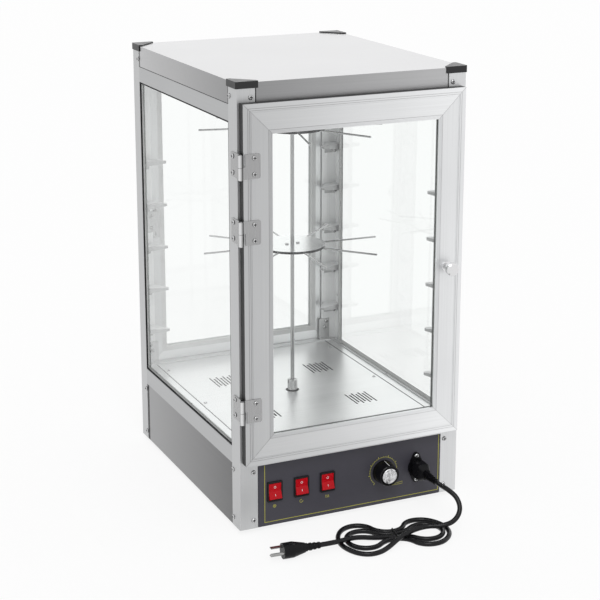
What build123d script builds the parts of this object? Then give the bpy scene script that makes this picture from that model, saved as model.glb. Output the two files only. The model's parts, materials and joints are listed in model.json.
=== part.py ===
"""Rotating display case: an aluminium-framed glass cabinet with a door at the front and one at the rear,
a motor-driven rod rack inside, and a base that holds the controls.

The origin is the centre of the footprint on the table. +X is right, +Y is the rear, +Z is up.
All sizes are in millimetres.
"""
import math
import os

from build123d import *

os.makedirs("parts", exist_ok=True)

# Case, over the corner posts
case_width = 382.0
case_depth = 452.0
foot_height = 8.0
base_panel_height = 102.5
sill_height = 28.0
pane_height = 507.5
head_height = 25.0
lid_lip_height = 35.0
cap_plate = 2.0

# Corner posts and sheet metal
post_leg = 30.0
post_wall = 2.0
post_round = 1.5
sheet = 1.0
panel_inset = 0.5
panel_gap = 1.0
tab_length = 22.0
hole_clearance = 0.15

# Corner caps
cap_over = 1.2
cap_leg = 35.7
cap_skirt = 8.5
cap_land = 6.0
cap_round = 2.0

# Rails
rail_depth = 14.0
rail_web = 3.5
rail_flange = 2.0
rail_tongue = 14.0

# Side glass
glass_thickness = 4.0
glass_setback = 4.0
gasket_lip = 2.5
gasket_base = 1.0
gasket_front = 0.5
gasket_depth = 9.0

# Floor
floor_sheet = 1.2
floor_seam = 27.5
seam_gap = 0.4
ledge_lap = 13.5
floor_hole_diameter = 23.0
vent_x = 87.0
vent_y = 84.0
vent_pitch = 6.0
vent_width = 2.0
vent_long = 48.0
vent_short = 36.0
vent_count = 7

# Base plate and feet
base_sheet = 1.2
base_flange = 10.0
foot_inset = 40.0
foot_diameter = 24.0
foot_taper = 3.0
foot_recess_diameter = 9.0
foot_recess_depth = 4.0

# Case screws
screw_head_diameter = 6.6
screw_head_height = 2.0
screw_shank_diameter = 3.4
screw_length = 7.0
screw_from_corner_x = 23.0
screw_from_corner_y = 26.0
screw_low = 13.5
screw_below_sill = 9.5
screw_above_head = 13.0

# Corner braces
brace_sheet = 1.5
brace_width = 20.0
brace_height = 38.0
brace_from_corner = 15.0
brace_foot_depth = 12.0

# Shelf supports
support_levels = (208.0, 283.0, 358.0, 433.0, 508.0)
support_tip_from_side = 42.0
support_tip_from_end = 32.0
support_tip_radius = 4.0
support_tip_thickness = 4.0
support_root_thickness = 11.0
support_root_on_end = 23.0
support_root_on_side = 21.0
support_taper_length = 40.0
support_plate_height = 19.0
support_plate = 1.5
support_boss_diameter = 9.0
support_boss_length = 8.0
support_boss_drop = 13.5
support_boss_from_side = 6.0

# Doors
door_stand = 15.0
door_inset_hinge = 4.75
door_inset_latch = 8.2
door_lap_sill = 8.5
door_lap_head = 6.0
door_member = 46.0
door_depth = 13.0
door_face = 1.5
door_lip = 3.0
door_rebate = 10.0
door_wall = 1.7
groove_depth = 0.6
groove_half_width = 0.5
outer_grooves = (7.0, 10.0, 12.0)
inner_grooves = (6.0, 4.0, 2.0)
edge_seal_width = 1.5
edge_seal_depth = 13.2
glazing_lip = 1.5
glazing_show = 1.5
glazing_base = 1.0
pane_clearance = 0.2
knob_from_edge = 27.0
knob_height = 396.0
knob_diameter = 21.0
knob_reach = 22.0
knob_head = 9.0
knob_stem_diameter = 10.0
knob_flange_diameter = 16.0
knob_flange = 1.5

# Hinges
hinge_levels = (208.0, 486.0, 585.6)
hinge_height = 37.0
knuckle_diameter = 8.0
knuckle_gap = 0.5
pin_diameter = 4.0
pin_clearance = 0.05
pin_seat = 0.02
pin_over = 0.8
pin_from_side = 1.5
pin_from_front = 18.0
leaf_sheet = 1.5
leaf_cutback = 8.2
door_leaf_length = 32.5
case_leaf_length = 37.0
leaf_round = 3.0
leaf_screw_from_pin = 22.8
leaf_screw_half_pitch = 12.2
case_screw_from_pin = 29.0

# Door catches
catch_level = 395.0
catch_plate_height = 37.0
catch_plate_width = 29.0
catch_plate_from_corner = 42.0
catch_sheet = 1.5
magnet_width = 6.0
magnet_height = 54.0
magnet_stand = 0.6
strike_sheet = 1.0
strike_width = 12.0
strike_height = 60.0
strike_from_edge = 23.8

# Rack
shaft_diameter = 6.3
shaft_over = 6.0
disc_levels = (392.5, 591.0)
disc_radius = 55.0
disc_sheet = 1.2
disc_rim = 4.0
rod_diameter = 3.0
rod_count = 8
rod_inner_radius = 30.0
rod_tip_radius = 150.0
rod_turns = (-3.5, -14.0)
rod_notch_clearance = 0.2
hub_flange_diameter = 32.0
hub_flange = 3.0
hub_collar_diameter = 14.0
hub_collar = 10.0
socket_diameter = 16.5
socket_bottom = 138.0
socket_top = 155.0
socket_slot_width = 3.0
socket_slot_depth = 6.0
cross_pin_diameter = 2.4
cross_pin_length = 14.0

# Gear motor and bracket
motor_diameter = 60.0
motor_length = 34.0
motor_top = 118.0
motor_boss_diameter = 16.0
motor_boss = 3.0
motor_shaft_diameter = 8.0
motor_shaft_foot = 98.0
shaft_running = 0.05
bracket_sheet = 1.5
bracket_half_span = 45.0
bracket_half_width = 28.0
bracket_foot = 14.0
bracket_hole_clearance = 1.0

# Heater
element_diameter = 8.0
element_level = 104.0
element_half_span = 95.0
element_front = -150.0
element_rear = 120.0
element_terminal = 30.0
element_bend = 22.0
tray_level = 84.0
tray_sheet = 1.0
tray_margin = 25.0
tray_hole_diameter = 70.0
tray_leg_width = 24.0
tray_foot = 15.0
clip_width = 12.0
clip_length = 10.0
clip_y = 60.0
clip_grip = 0.1

# Controls
switches_from_left = (58.5, 104.0, 149.0)
switch_level = 64.0
bezel_width = 25.5
bezel_height = 33.0
bezel_thickness = 2.5
housing_width = 24.0
housing_height = 29.0
housing_depth = 22.0
housing_fit = 0.1
well_width = 21.2
well_height = 28.0
well_depth = 11.0
rocker_side_gap = 0.3
rocker_end_radius = 13.6
rocker_end_angle = 25.0
rocker_saddle = 3.2
rocker_back = 3.5
rocker_throw = 10.0
rocker_pivot_depth = 4.0
rocker_pin_diameter = 3.0
rocker_pin_length = 1.0
rocker_pin_clearance = 0.05
terminal_tab_width = 6.3
terminal_tab_sheet = 0.8
terminal_tab_length = 8.0
terminal_tab_pitch = 9.0

dial_from_right = 133.5
dial_level = 63.4
dial_diameter = 38.5
dial_top_diameter = 34.0
dial_height = 22.0
dial_stand = 0.6
dial_insert_diameter = 25.0
dial_insert_thickness = 1.6
dial_insert_show = 0.6
dial_shaft_diameter = 6.0
dial_shaft_hole = 10.0
dial_shaft_in_body = 9.0
dial_shaft_in_knob = 14.0
thermostat_width = 46.0
thermostat_depth = 28.0
thermostat_height = 30.0
capillary_diameter = 2.0
capillary_bend = 9.0
bulb_diameter = 6.0
bulb_length = 70.0
bulb_from_side = 55.0
bulb_from_body = 46.5

inlet_from_right = 75.0
inlet_level = 61.0
inlet_screw_half_pitch = 20.0
inlet_ear_radius = 5.5
inlet_boss_radius = 14.0
inlet_flange = 3.0
inlet_body_width = 20.4
inlet_body_height = 27.4
inlet_body_depth = 19.0
inlet_well_width = 16.8
inlet_well_height = 24.4
inlet_well_depth = 15.5
inlet_corner = 4.0
inlet_fit = 0.1
contact_width = 2.0
contact_height = 4.0
contact_length = 12.0
contact_pitch = 7.0

# Terminal block
block_x = -120.0
block_y = 60.0
block_length = 60.0
block_width = 20.0
block_height = 18.0
block_wells = 5
block_well_diameter = 6.0
block_well_depth = 8.0

# Lamp under the lid
lamp_drop = 30.0
lamp_holder_diameter = 38.0
lamp_holder_length = 40.0
lamp_holder_x = -70.0
lamp_bore_diameter = 27.0
lamp_bore_depth = 32.0
lamp_bracket_sheet = 1.5
lamp_bracket_width = 36.0
lamp_bracket_foot = 30.0
bulb_glass_radius = 22.0
bulb_neck_radius = 13.0
bulb_total_length = 100.0
bulb_cap_length = 28.0

# Mains lead
cord_diameter = 7.8
cord_floor = 4.0
strand_pitch = 8.3
connector_nose_gap = 0.2
connector_width = 20.0
connector_height = 27.0
connector_length = 33.3
connector_shoulder = 10.0
relief_length = 30.0
relief_start_diameter = 13.0
relief_end_diameter = 10.0
relief_rings = 4
hank_x = 22.0
hank_from_case = 104.0
hank_turn = -10.5
lead_drop = ((5, 96.5, 58.8), (13.5, 112, 49.5), (12.5, 124.5, 33.5), (-2.5, 131.5, 20.5), (-24, 130, 16.5))
tie_wire_diameter = 1.6
tie_gap = 0.3
tie_x = 2.0

# Mains plug
plug_level = 12.5
plug_place = (-124.3, -22.9)
plug_relief_length = 24.0
plug_body_length = 36.0
plug_face_diameter = 24.5
plug_neck_width = 15.0
plug_blade_length = 18.0
plug_blade_width = 6.35
plug_blade_sheet = 1.5
plug_blade_pitch = 12.7
plug_pin_diameter = 4.8
plug_pin_length = 21.0
plug_pin_drop = 8.0
plug_blade_lift = 3.0
plug_pin_root = 6.0

# Places worked out from the driving dimensions
half_width = case_width / 2
half_depth = case_depth / 2
sill_bottom = foot_height + base_panel_height
sill_top = sill_bottom + sill_height
head_bottom = sill_top + pane_height
head_top = head_bottom + head_height
lid_top = head_top + lid_lip_height
floor_top = sill_top - rail_flange
floor_under = floor_top - floor_sheet
panel_face = half_depth - panel_inset
panel_back = panel_face - sheet
leg_edge_x = half_width - post_leg
leg_edge_y = half_depth - post_leg
inner_x = half_width - post_wall
inner_y = half_depth - post_wall

door_front = half_depth + door_stand
door_left = -half_width + door_inset_hinge
door_right = half_width - door_inset_latch
door_bottom = sill_bottom + door_lap_sill
door_top = head_top + door_lap_head
door_width = door_right - door_left
door_height = door_top - door_bottom
door_middle_x = (door_left + door_right) / 2
door_middle_z = (door_bottom + door_top) / 2
pin_x = -half_width - pin_from_side
pin_y = -half_depth - pin_from_front

switch_places = [away - half_width for away in switches_from_left]
dial_x = half_width - dial_from_right
bulb_x = half_width - bulb_from_side
inlet_x = half_width - inlet_from_right


def save(piece, name):
    """Label a finished piece and write its STEP file."""
    piece.label = name
    export_step(piece, f"parts/{name}.step")


def turned_half(piece):
    """The same piece on the rear door, half a turn about the upright axis."""
    return piece.rotate(Axis.Z, 180)


def upright_plane(x, y, z):
    """A plane facing the front, with its x to the right and its y upwards."""
    return Plane(origin=(x, y, z), x_dir=(1, 0, 0), z_dir=(0, -1, 0))


def door_plane(depth):
    """The front door's plane at a depth behind its face."""
    return upright_plane(door_middle_x, -door_front + depth, door_middle_z)


# Corner posts: four right-angle profiles with holes for the case screws
screw_heights = (foot_height + screw_low, sill_bottom - screw_below_sill, head_top + screw_above_head)
screw_x = half_width - screw_from_corner_x
screw_y = half_depth - screw_from_corner_y
case_leaf_screw_y = -pin_y - case_screw_from_pin
leaf_screw_heights = [level + half * leaf_screw_half_pitch for level in hinge_levels for half in (-1, 1)]
brace_middle_x = half_width - brace_from_corner - brace_width / 2
brace_screws = ((brace_middle_x + 4.5, sill_top + 32.5), (brace_middle_x + 1.5, sill_top + 21.5))

with BuildPart() as corner_posts:
    with BuildSketch(Plane.XY.offset(foot_height)) as post_profile:
        with Locations((half_width - post_leg / 2, half_depth - post_leg / 2)):
            Rectangle(post_leg, post_leg)
        outer_corner = post_profile.vertices().group_by(Axis.X)[-1].sort_by(Axis.Y)[-1]
        fillet(outer_corner, post_round)
        with Locations((leg_edge_x - post_wall / 2 + post_leg / 2, leg_edge_y - post_wall / 2 + post_leg / 2)):
            Rectangle(post_leg - post_wall, post_leg - post_wall, mode=Mode.SUBTRACT)
        mirror(about=Plane.YZ)
        mirror(about=Plane.XZ)
    extrude(amount=lid_top - foot_height)
    with BuildSketch(Plane.XZ.offset(-half_depth)):
        with Locations([(x, z) for x in (-screw_x, screw_x) for z in screw_heights]):
            Circle(screw_shank_diameter / 2 + hole_clearance)
    extrude(amount=case_depth, mode=Mode.SUBTRACT)
    with BuildSketch(Plane.YZ.offset(-half_width)):
        with Locations([(y, z) for y in (-screw_y, screw_y) for z in screw_heights]):
            Circle(screw_shank_diameter / 2 + hole_clearance)
    extrude(amount=case_width, mode=Mode.SUBTRACT)
    for side in (-1, 1):
        with BuildSketch(Plane.YZ.offset(side * half_width)):
            with Locations([(side * case_leaf_screw_y, z) for z in leaf_screw_heights]):
                Circle(screw_shank_diameter / 2 + hole_clearance)
        extrude(amount=-side * post_wall, mode=Mode.SUBTRACT)
        with BuildSketch(Plane.XZ.offset(side * half_depth)):
            with Locations([(end * x, z) for x, z in brace_screws for end in (-1, 1)]):
                Circle(screw_shank_diameter / 2 + hole_clearance)
        extrude(amount=-side * post_wall, mode=Mode.SUBTRACT)
save(corner_posts.part, "corner_posts")


# Corner caps: a plate with a diagonal inner edge and an L-shaped skirt round the post
cap_x = half_width + cap_over
cap_y = half_depth + cap_over

with BuildPart() as corner_cap:
    with BuildSketch(Plane.XY.offset(lid_top)) as cap_outline:
        with BuildLine():
            Polyline(
                (cap_x - cap_leg, cap_y),
                (cap_x, cap_y),
                (cap_x, cap_y - cap_leg),
                (cap_x - cap_land, cap_y - cap_leg),
                (cap_x - cap_leg, cap_y - cap_land),
                close=True,
            )
        make_face()
    extrude(amount=cap_plate)
    with BuildSketch(Plane.XY.offset(lid_top)):
        with Locations((cap_x - cap_leg / 2, cap_y - cap_leg / 2)):
            Rectangle(cap_leg, cap_leg)
        with Locations((half_width - cap_leg / 2, half_depth - cap_leg / 2)):
            Rectangle(cap_leg, cap_leg, mode=Mode.SUBTRACT)
    extrude(amount=-cap_skirt)
    corner_edge = corner_cap.edges().filter_by(Axis.Z).group_by(Axis.X)[-1].sort_by(Axis.Y)[-1]
    fillet(corner_edge, cap_round)

with BuildPart() as corner_caps:
    add(corner_cap.part)
    mirror(about=Plane.YZ)
    mirror(about=Plane.XZ)
save(corner_caps.part, "corner_caps")


# Lid: a folded pan, its lips flush between the posts and joggled behind their legs
def lid_outline(shrink):
    """Three rectangles that overlap into the joggled outline, in a sketch that is open."""
    Rectangle(2 * (half_width - panel_inset - shrink), 2 * (leg_edge_y - panel_gap - shrink))
    Rectangle(2 * (leg_edge_x - panel_gap - shrink), 2 * (half_depth - panel_inset - shrink))
    Rectangle(2 * (inner_x - shrink), 2 * (inner_y - shrink))


lid_notch = post_leg - post_wall - tab_length

with BuildPart() as lid:
    with BuildSketch(Plane.XY.offset(head_top)):
        lid_outline(0)
    extrude(amount=lid_lip_height)
    with BuildSketch(Plane.XY.offset(head_top)):
        lid_outline(sheet)
    extrude(amount=lid_lip_height - sheet, mode=Mode.SUBTRACT)
    with BuildSketch(Plane.XY.offset(head_top)):
        with GridLocations(2 * inner_x, 2 * inner_y, 2, 2):
            Rectangle(2 * lid_notch, 2 * lid_notch)
    extrude(amount=lid_lip_height, mode=Mode.SUBTRACT)
    for axis_plane, screw_place in ((Plane.XZ.offset(-half_depth), screw_x), (Plane.YZ.offset(-half_width), screw_y)):
        with BuildSketch(axis_plane):
            with Locations((-screw_place, screw_heights[-1]), (screw_place, screw_heights[-1])):
                Circle(screw_shank_diameter / 2 + hole_clearance)
        extrude(amount=case_depth, mode=Mode.SUBTRACT)
save(lid.part, "lid")


# Rails: channel profiles between the posts, with tongues behind the posts' legs
def rail(plane, profile_side, height, leg_edge):
    """One channel rail, centred on its plane; profile_side turns the profile to the right or the left."""
    reach = leg_edge + rail_tongue
    with BuildPart() as piece:
        with BuildSketch(plane):
            with BuildLine():
                Polyline(
                    (0, 0),
                    (-profile_side * rail_depth, 0),
                    (-profile_side * rail_depth, rail_flange),
                    (-profile_side * rail_web, rail_flange),
                    (-profile_side * rail_web, height - rail_flange),
                    (-profile_side * rail_depth, height - rail_flange),
                    (-profile_side * rail_depth, height),
                    (0, height),
                    close=True,
                )
            make_face()
        extrude(amount=reach, both=True)
        with BuildSketch(plane):
            with Locations((-profile_side * post_wall / 2, height / 2)):
                Rectangle(post_wall, height)
        extrude(amount=reach, both=True, mode=Mode.SUBTRACT)
        with BuildSketch(plane):
            with Locations((-profile_side * post_wall / 2, height / 2)):
                Rectangle(post_wall, height)
        extrude(amount=leg_edge, both=True)
    return piece.part


def rail_set(bottom, height, name):
    """The four rails of one level, as separate solids in one node."""
    with BuildPart() as rails:
        add(rail(Plane(origin=(half_width, 0, bottom), x_dir=(1, 0, 0), z_dir=(0, -1, 0)), 1, height, leg_edge_y))
        add(rail(Plane(origin=(-half_width, 0, bottom), x_dir=(1, 0, 0), z_dir=(0, -1, 0)), -1, height, leg_edge_y))
        add(rail(Plane(origin=(0, half_depth, bottom), x_dir=(0, 1, 0), z_dir=(1, 0, 0)), 1, height, leg_edge_x))
        add(rail(Plane(origin=(0, -half_depth, bottom), x_dir=(0, 1, 0), z_dir=(1, 0, 0)), -1, height, leg_edge_x))
    save(rails.part, name)


rail_set(sill_bottom, sill_height, "sill_rails")
rail_set(head_bottom, head_height, "head_rails")


# Side glass in rubber gaskets
pane_middle_z = (sill_top + head_bottom) / 2
pane_groove_width = 2 * (leg_edge_y - gasket_base)
pane_groove_height = pane_height - 2 * gasket_base

with BuildPart() as side_gasket:
    with BuildSketch(Plane.YZ.offset(half_width - gasket_front)):
        with Locations((0, pane_middle_z)):
            Rectangle(2 * leg_edge_y, pane_height)
            Rectangle(2 * (leg_edge_y - gasket_lip), pane_height - 2 * gasket_lip, mode=Mode.SUBTRACT)
    extrude(amount=-gasket_depth)
    with BuildSketch(Plane.YZ.offset(half_width - glass_setback)):
        with Locations((0, pane_middle_z)):
            Rectangle(pane_groove_width, pane_groove_height)
    extrude(amount=-glass_thickness, mode=Mode.SUBTRACT)

with BuildPart() as side_gaskets:
    add(side_gasket.part)
    mirror(about=Plane.YZ)
save(side_gaskets.part, "side_gaskets")

with BuildPart() as side_glass:
    with BuildSketch(Plane.YZ.offset(half_width - glass_setback)):
        with Locations((0, pane_middle_z)):
            Rectangle(pane_groove_width - 2 * pane_clearance, pane_groove_height - 2 * pane_clearance)
    extrude(amount=-glass_thickness)
    mirror(about=Plane.YZ)
save(side_glass.part, "side_glass")


# Base panels: flush between the posts, joggled behind their legs
def joggled_outline(face, leg_edge):
    """A strip along x at the height face, with tabs one post wall further in, in a sketch that is open."""
    strip_end = leg_edge - panel_gap
    with Locations((0, face - panel_inset - sheet / 2)):
        Rectangle(2 * strip_end, sheet)
    for side in (-1, 1):
        tab_start = strip_end - sheet
        tab_end = leg_edge + tab_length
        with Locations((side * (tab_start + tab_end) / 2, face - post_wall - sheet / 2)):
            Rectangle(tab_end - tab_start, sheet)
        joggle_depth = post_wall + sheet - panel_inset
        with Locations((side * (strip_end - sheet / 2), face - panel_inset - joggle_depth / 2)):
            Rectangle(sheet, joggle_depth)


def base_panel(half_span, leg_edge, screw_place):
    """An upright panel whose face is at y = half_span, with holes for its four screws."""
    with BuildPart() as piece:
        with BuildSketch(Plane.XY.offset(foot_height)):
            joggled_outline(half_span, leg_edge)
        extrude(amount=base_panel_height)
        with BuildSketch(Plane.XZ.offset(-half_span)):
            with Locations([(x, z) for x in (-screw_place, screw_place) for z in screw_heights[:2]]):
                Circle(screw_shank_diameter / 2 + hole_clearance)
        extrude(amount=2 * post_wall + sheet, mode=Mode.SUBTRACT)
    return piece.part


rear_panel = base_panel(half_depth, leg_edge_x, screw_x)
side_panel = base_panel(half_width, leg_edge_y, screw_y)

with BuildPart() as base_panels:
    add(rear_panel)
    add(side_panel.rotate(Axis.Z, 90))
    add(side_panel.rotate(Axis.Z, -90))
save(base_panels.part, "base_panels")

with BuildPart() as control_panel:
    add(turned_half(rear_panel))
    with BuildSketch(upright_plane(0, -half_depth, 0)):
        with Locations([(x, switch_level) for x in switch_places]):
            Rectangle(housing_width + 2 * housing_fit, housing_height + 2 * housing_fit)
        with Locations((dial_x, dial_level)):
            Circle(dial_shaft_hole / 2)
        with Locations((inlet_x, inlet_level)):
            Rectangle(inlet_body_width + 2 * inlet_fit, inlet_body_height + 2 * inlet_fit)
            with Locations((0, -inlet_screw_half_pitch), (0, inlet_screw_half_pitch)):
                Circle(screw_shank_diameter / 2 + hole_clearance)
    extrude(amount=-2 * post_wall, mode=Mode.SUBTRACT)
save(control_panel.part, "control_panel")


# Floor: a slotted panel under the sill rails' flanges, with two ledges beside it
floor_half_length = half_depth - rail_web - seam_gap
floor_edge = half_width - floor_seam
ledge_outer = half_width - rail_web - seam_gap

with BuildPart() as floor_panel:
    with BuildSketch(Plane.XY.offset(floor_under)):
        Rectangle(2 * floor_edge, 2 * floor_half_length)
        Circle(floor_hole_diameter / 2, mode=Mode.SUBTRACT)
        for slot in range(vent_count):
            slot_length = vent_long if slot % 2 == 0 else vent_short
            slot_x = (slot - (vent_count - 1) / 2) * vent_pitch
            group_places = [(sx * vent_x + slot_x, sy * vent_y) for sx in (-1, 1) for sy in (-1, 1)]
            with Locations(group_places):
                SlotOverall(slot_length, vent_width, rotation=90, mode=Mode.SUBTRACT)
    extrude(amount=floor_sheet)
save(floor_panel.part, "floor_panel")

with BuildPart() as floor_ledges:
    with BuildSketch(Plane.XZ.offset(-floor_half_length)):
        with BuildLine():
            Polyline(
                (ledge_outer, floor_top),
                (floor_edge + seam_gap, floor_top),
                (floor_edge + seam_gap, floor_under),
                (floor_edge - ledge_lap, floor_under),
                (floor_edge - ledge_lap, floor_under - floor_sheet),
                (floor_edge + seam_gap + floor_sheet, floor_under - floor_sheet),
                (floor_edge + seam_gap + floor_sheet, floor_under),
                (ledge_outer, floor_under),
                close=True,
            )
        make_face()
    extrude(amount=2 * floor_half_length)
    mirror(about=Plane.YZ)
save(floor_ledges.part, "floor_ledges")


# Corner braces: small angles on the sill flange, behind the posts
with BuildPart() as corner_braces:
    with BuildSketch(Plane.XZ.offset(-inner_y)):
        with Locations((brace_middle_x, sill_top + brace_height / 2)):
            Rectangle(brace_width, brace_height)
    extrude(amount=brace_sheet)
    with BuildSketch(Plane.XY.offset(sill_top)):
        with Locations((brace_middle_x, inner_y - brace_foot_depth / 2)):
            Rectangle(brace_width, brace_foot_depth)
    extrude(amount=brace_sheet)
    with BuildSketch(Plane.XZ.offset(-inner_y)):
        with Locations(*brace_screws):
            Circle(screw_shank_diameter / 2 + hole_clearance)
    extrude(amount=brace_sheet, mode=Mode.SUBTRACT)
    mirror(about=Plane.YZ)
    mirror(about=Plane.XZ)
save(corner_braces.part, "corner_braces")


# Base plate: a shallow pan, on four tapered rubber feet
base_x = inner_x - sheet
base_y = inner_y - sheet

with BuildPart() as base_plate:
    with BuildSketch(Plane.XY.offset(foot_height)):
        Rectangle(2 * base_x, 2 * base_y)
    extrude(amount=base_flange)
    with BuildSketch(Plane.XY.offset(foot_height + base_sheet)):
        Rectangle(2 * (base_x - base_sheet), 2 * (base_y - base_sheet))
    extrude(amount=base_flange, mode=Mode.SUBTRACT)
save(base_plate.part, "base_plate")

foot_places = [(sx * (half_width - foot_inset), sy * (half_depth - foot_inset)) for sx in (-1, 1) for sy in (-1, 1)]

with BuildPart() as rubber_feet:
    with BuildSketch(Plane.XY.offset(foot_height)):
        with Locations(*foot_places):
            Circle(foot_diameter / 2)
    extrude(amount=-foot_height, taper=math.degrees(math.atan2(foot_taper / 2, foot_height)))
    with BuildSketch(Plane.XY):
        with Locations(*foot_places):
            Circle(foot_recess_diameter / 2)
    extrude(amount=foot_recess_depth, mode=Mode.SUBTRACT)
save(rubber_feet.part, "rubber_feet")


# Shelf supports: an arm that runs out of the corner and tapers underneath, on a plate inside the post's end leg
support_tip = Vector(half_width - support_tip_from_side, half_depth - support_tip_from_end)
support_corner = Vector(inner_x, inner_y)
support_root_x = inner_x - support_root_on_end
support_root_y = inner_y - support_root_on_side
support_inward = (support_corner - support_tip).normalized()


def tip_tangent(corner, side):
    """Where a line from a corner of the root touches the round of the tip."""
    run = Vector(*corner) - support_tip
    turn = math.degrees(math.acos(support_tip_radius / run.length))
    return support_tip + run.normalized().rotate(Axis.Z, side * turn) * support_tip_radius


def shelf_support(level):
    """One support in the corner towards +X and +Y, with its top at the level."""
    across = support_inward.cross(Vector(0, 0, 1))
    taper_plane = Plane(origin=support_tip + Vector(0, 0, level), x_dir=support_inward, z_dir=across)
    taper_start = -support_tip_radius - 1
    taper_floor = -support_root_thickness - 1
    with BuildPart() as piece:
        with BuildSketch(Plane.XY.offset(level)):
            with BuildLine():
                Polyline(
                    (support_root_x, inner_y),
                    tip_tangent((support_root_x, inner_y), 1),
                    tip_tangent((inner_x, support_root_y), -1),
                    (inner_x, support_root_y),
                    (inner_x, inner_y),
                    close=True,
                )
            make_face()
            with Locations((support_tip.X, support_tip.Y)):
                Circle(support_tip_radius)
        extrude(amount=-support_root_thickness)
        with BuildSketch(taper_plane):
            with BuildLine():
                Polyline(
                    (taper_start, -support_tip_thickness),
                    (support_taper_length, -support_root_thickness),
                    (support_taper_length, taper_floor),
                    (taper_start, taper_floor),
                    close=True,
                )
            make_face()
        extrude(amount=support_root_on_end + support_root_on_side, both=True, mode=Mode.SUBTRACT)
        with BuildSketch(Plane.XZ.offset(-inner_y)):
            with Locations((inner_x - support_root_on_end / 2, level - support_plate_height / 2)):
                Rectangle(support_root_on_end, support_plate_height)
        extrude(amount=support_plate)
        with BuildSketch(Plane.XZ.offset(-inner_y)):
            with Locations((inner_x - support_boss_from_side, level - support_boss_drop)):
                Circle(support_boss_diameter / 2)
        extrude(amount=support_boss_length)
    return piece.part


with BuildPart() as shelf_supports:
    for support_level in support_levels:
        add(shelf_support(support_level))
    mirror(about=Plane.YZ)
    mirror(about=Plane.XZ)
save(shelf_supports.part, "shelf_supports")


# Doors: one frame of mitred hollow profiles, made at the front and turned for the rear
def ring(inset, width, start_depth, depth, mode=Mode.ADD):
    """A rectangular ring in the door, in a part that is open; inset is from the door's outer edge."""
    with BuildSketch(door_plane(start_depth)) as outline:
        Rectangle(door_width - 2 * inset, door_height - 2 * inset)
        Rectangle(
            door_width - 2 * (inset + width),
            door_height - 2 * (inset + width),
            mode=Mode.SUBTRACT,
        )
    extrude(outline.sketch, amount=-depth, mode=mode)


def hinge_screw_places():
    """The front door's leaf screws, as x and z."""
    screw_column = pin_x + leaf_screw_from_pin
    return [(screw_column, level + side * leaf_screw_half_pitch) for level in hinge_levels for side in (-1, 1)]


leaf_hole_depth = 9.0
knob_x = door_right - knob_from_edge
knob_stud_diameter = 5.0
knob_stud = 6.0
mitre_line = 0.3
mitre_length = (door_member + 4 * mitre_line) * math.sqrt(2)
groove_places = outer_grooves + tuple(door_member - place for place in inner_grooves)

with BuildPart() as door_frame:
    ring(0, door_member, 0, door_lip)
    ring(edge_seal_width, door_member - door_rebate - edge_seal_width, door_lip, door_depth - door_lip)
    ring(0, edge_seal_width, door_face, door_lip - door_face, mode=Mode.SUBTRACT)
    hollow_start = edge_seal_width + door_wall
    hollow_width = door_member - door_rebate - door_wall - hollow_start
    ring(hollow_start, hollow_width, 2.5, door_depth - 2.5 - door_wall, mode=Mode.SUBTRACT)
    for groove_place in groove_places:
        ring(groove_place - groove_half_width, 2 * groove_half_width, 0, groove_depth, mode=Mode.SUBTRACT)
    with BuildSketch(door_plane(0)):
        for side_x in (-1, 1):
            for side_y in (-1, 1):
                mitre_x = side_x * (door_width - door_member) / 2
                mitre_y = side_y * (door_height - door_member) / 2
                with Locations((mitre_x, mitre_y)):
                    Rectangle(mitre_length, mitre_line, rotation=45 * side_x * side_y)
    extrude(amount=-mitre_line, mode=Mode.SUBTRACT)
    with BuildSketch(upright_plane(0, -door_front, 0)):
        with Locations(*hinge_screw_places()):
            Circle(screw_shank_diameter / 2 + hole_clearance)
        with Locations((knob_x, knob_height)):
            Circle(knob_stud_diameter / 2)
    extrude(amount=-leaf_hole_depth, mode=Mode.SUBTRACT)

with BuildPart() as door_seals:
    ring(0, edge_seal_width, door_face, edge_seal_depth)
    glazing_start = door_member - door_rebate
    ring(glazing_start, door_rebate - glazing_show, door_lip, door_depth - door_lip)
    ring(
        glazing_start + glazing_base,
        door_rebate,
        door_lip + glazing_lip,
        glass_thickness,
        mode=Mode.SUBTRACT,
    )

with BuildPart() as door_glass:
    with BuildSketch(door_plane(door_lip + glazing_lip)):
        glass_inset = glazing_start + glazing_base + pane_clearance
        Rectangle(door_width - 2 * glass_inset, door_height - 2 * glass_inset)
    extrude(amount=-glass_thickness)

with BuildPart() as door_knob:
    with BuildSketch(Plane(origin=(knob_x, -door_front, knob_height), x_dir=(1, 0, 0), z_dir=(0, 0, 1))):
        with BuildLine():
            Polyline(
                (0, knob_stud),
                (knob_stud_diameter / 2, knob_stud),
                (knob_stud_diameter / 2, 0),
                (knob_flange_diameter / 2, 0),
                (knob_flange_diameter / 2, -knob_flange),
                (knob_stem_diameter / 2, -knob_flange - 1),
                (knob_stem_diameter / 2 - 1, -(knob_reach - knob_head) / 2 - 1),
                (knob_stem_diameter / 2, -(knob_reach - knob_head)),
                (knob_diameter / 2 - 1, -(knob_reach - knob_head)),
                (knob_diameter / 2, -(knob_reach - knob_head) - 1),
                (knob_diameter / 2, -knob_reach + 2),
                (knob_diameter / 2 - 2, -knob_reach),
                (0, -knob_reach),
                close=True,
            )
        make_face()
    revolve(axis=Axis((knob_x, -door_front, knob_height), (0, 1, 0)))

with BuildPart() as door_strike:
    with BuildSketch(upright_plane(0, -door_front + door_depth, 0)):
        with Locations((door_right - strike_from_edge - strike_width / 2, catch_level)):
            Rectangle(strike_width, strike_height)
    extrude(amount=-strike_sheet)


# Lift-off hinges: the upper half of the top hinge is on the case, as are the lower halves of the others
def knuckle_span(level, upper):
    """The bottom and top of a half-height knuckle."""
    if upper:
        return level + knuckle_gap / 2, level + hinge_height / 2
    return level - hinge_height / 2, level - knuckle_gap / 2


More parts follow.
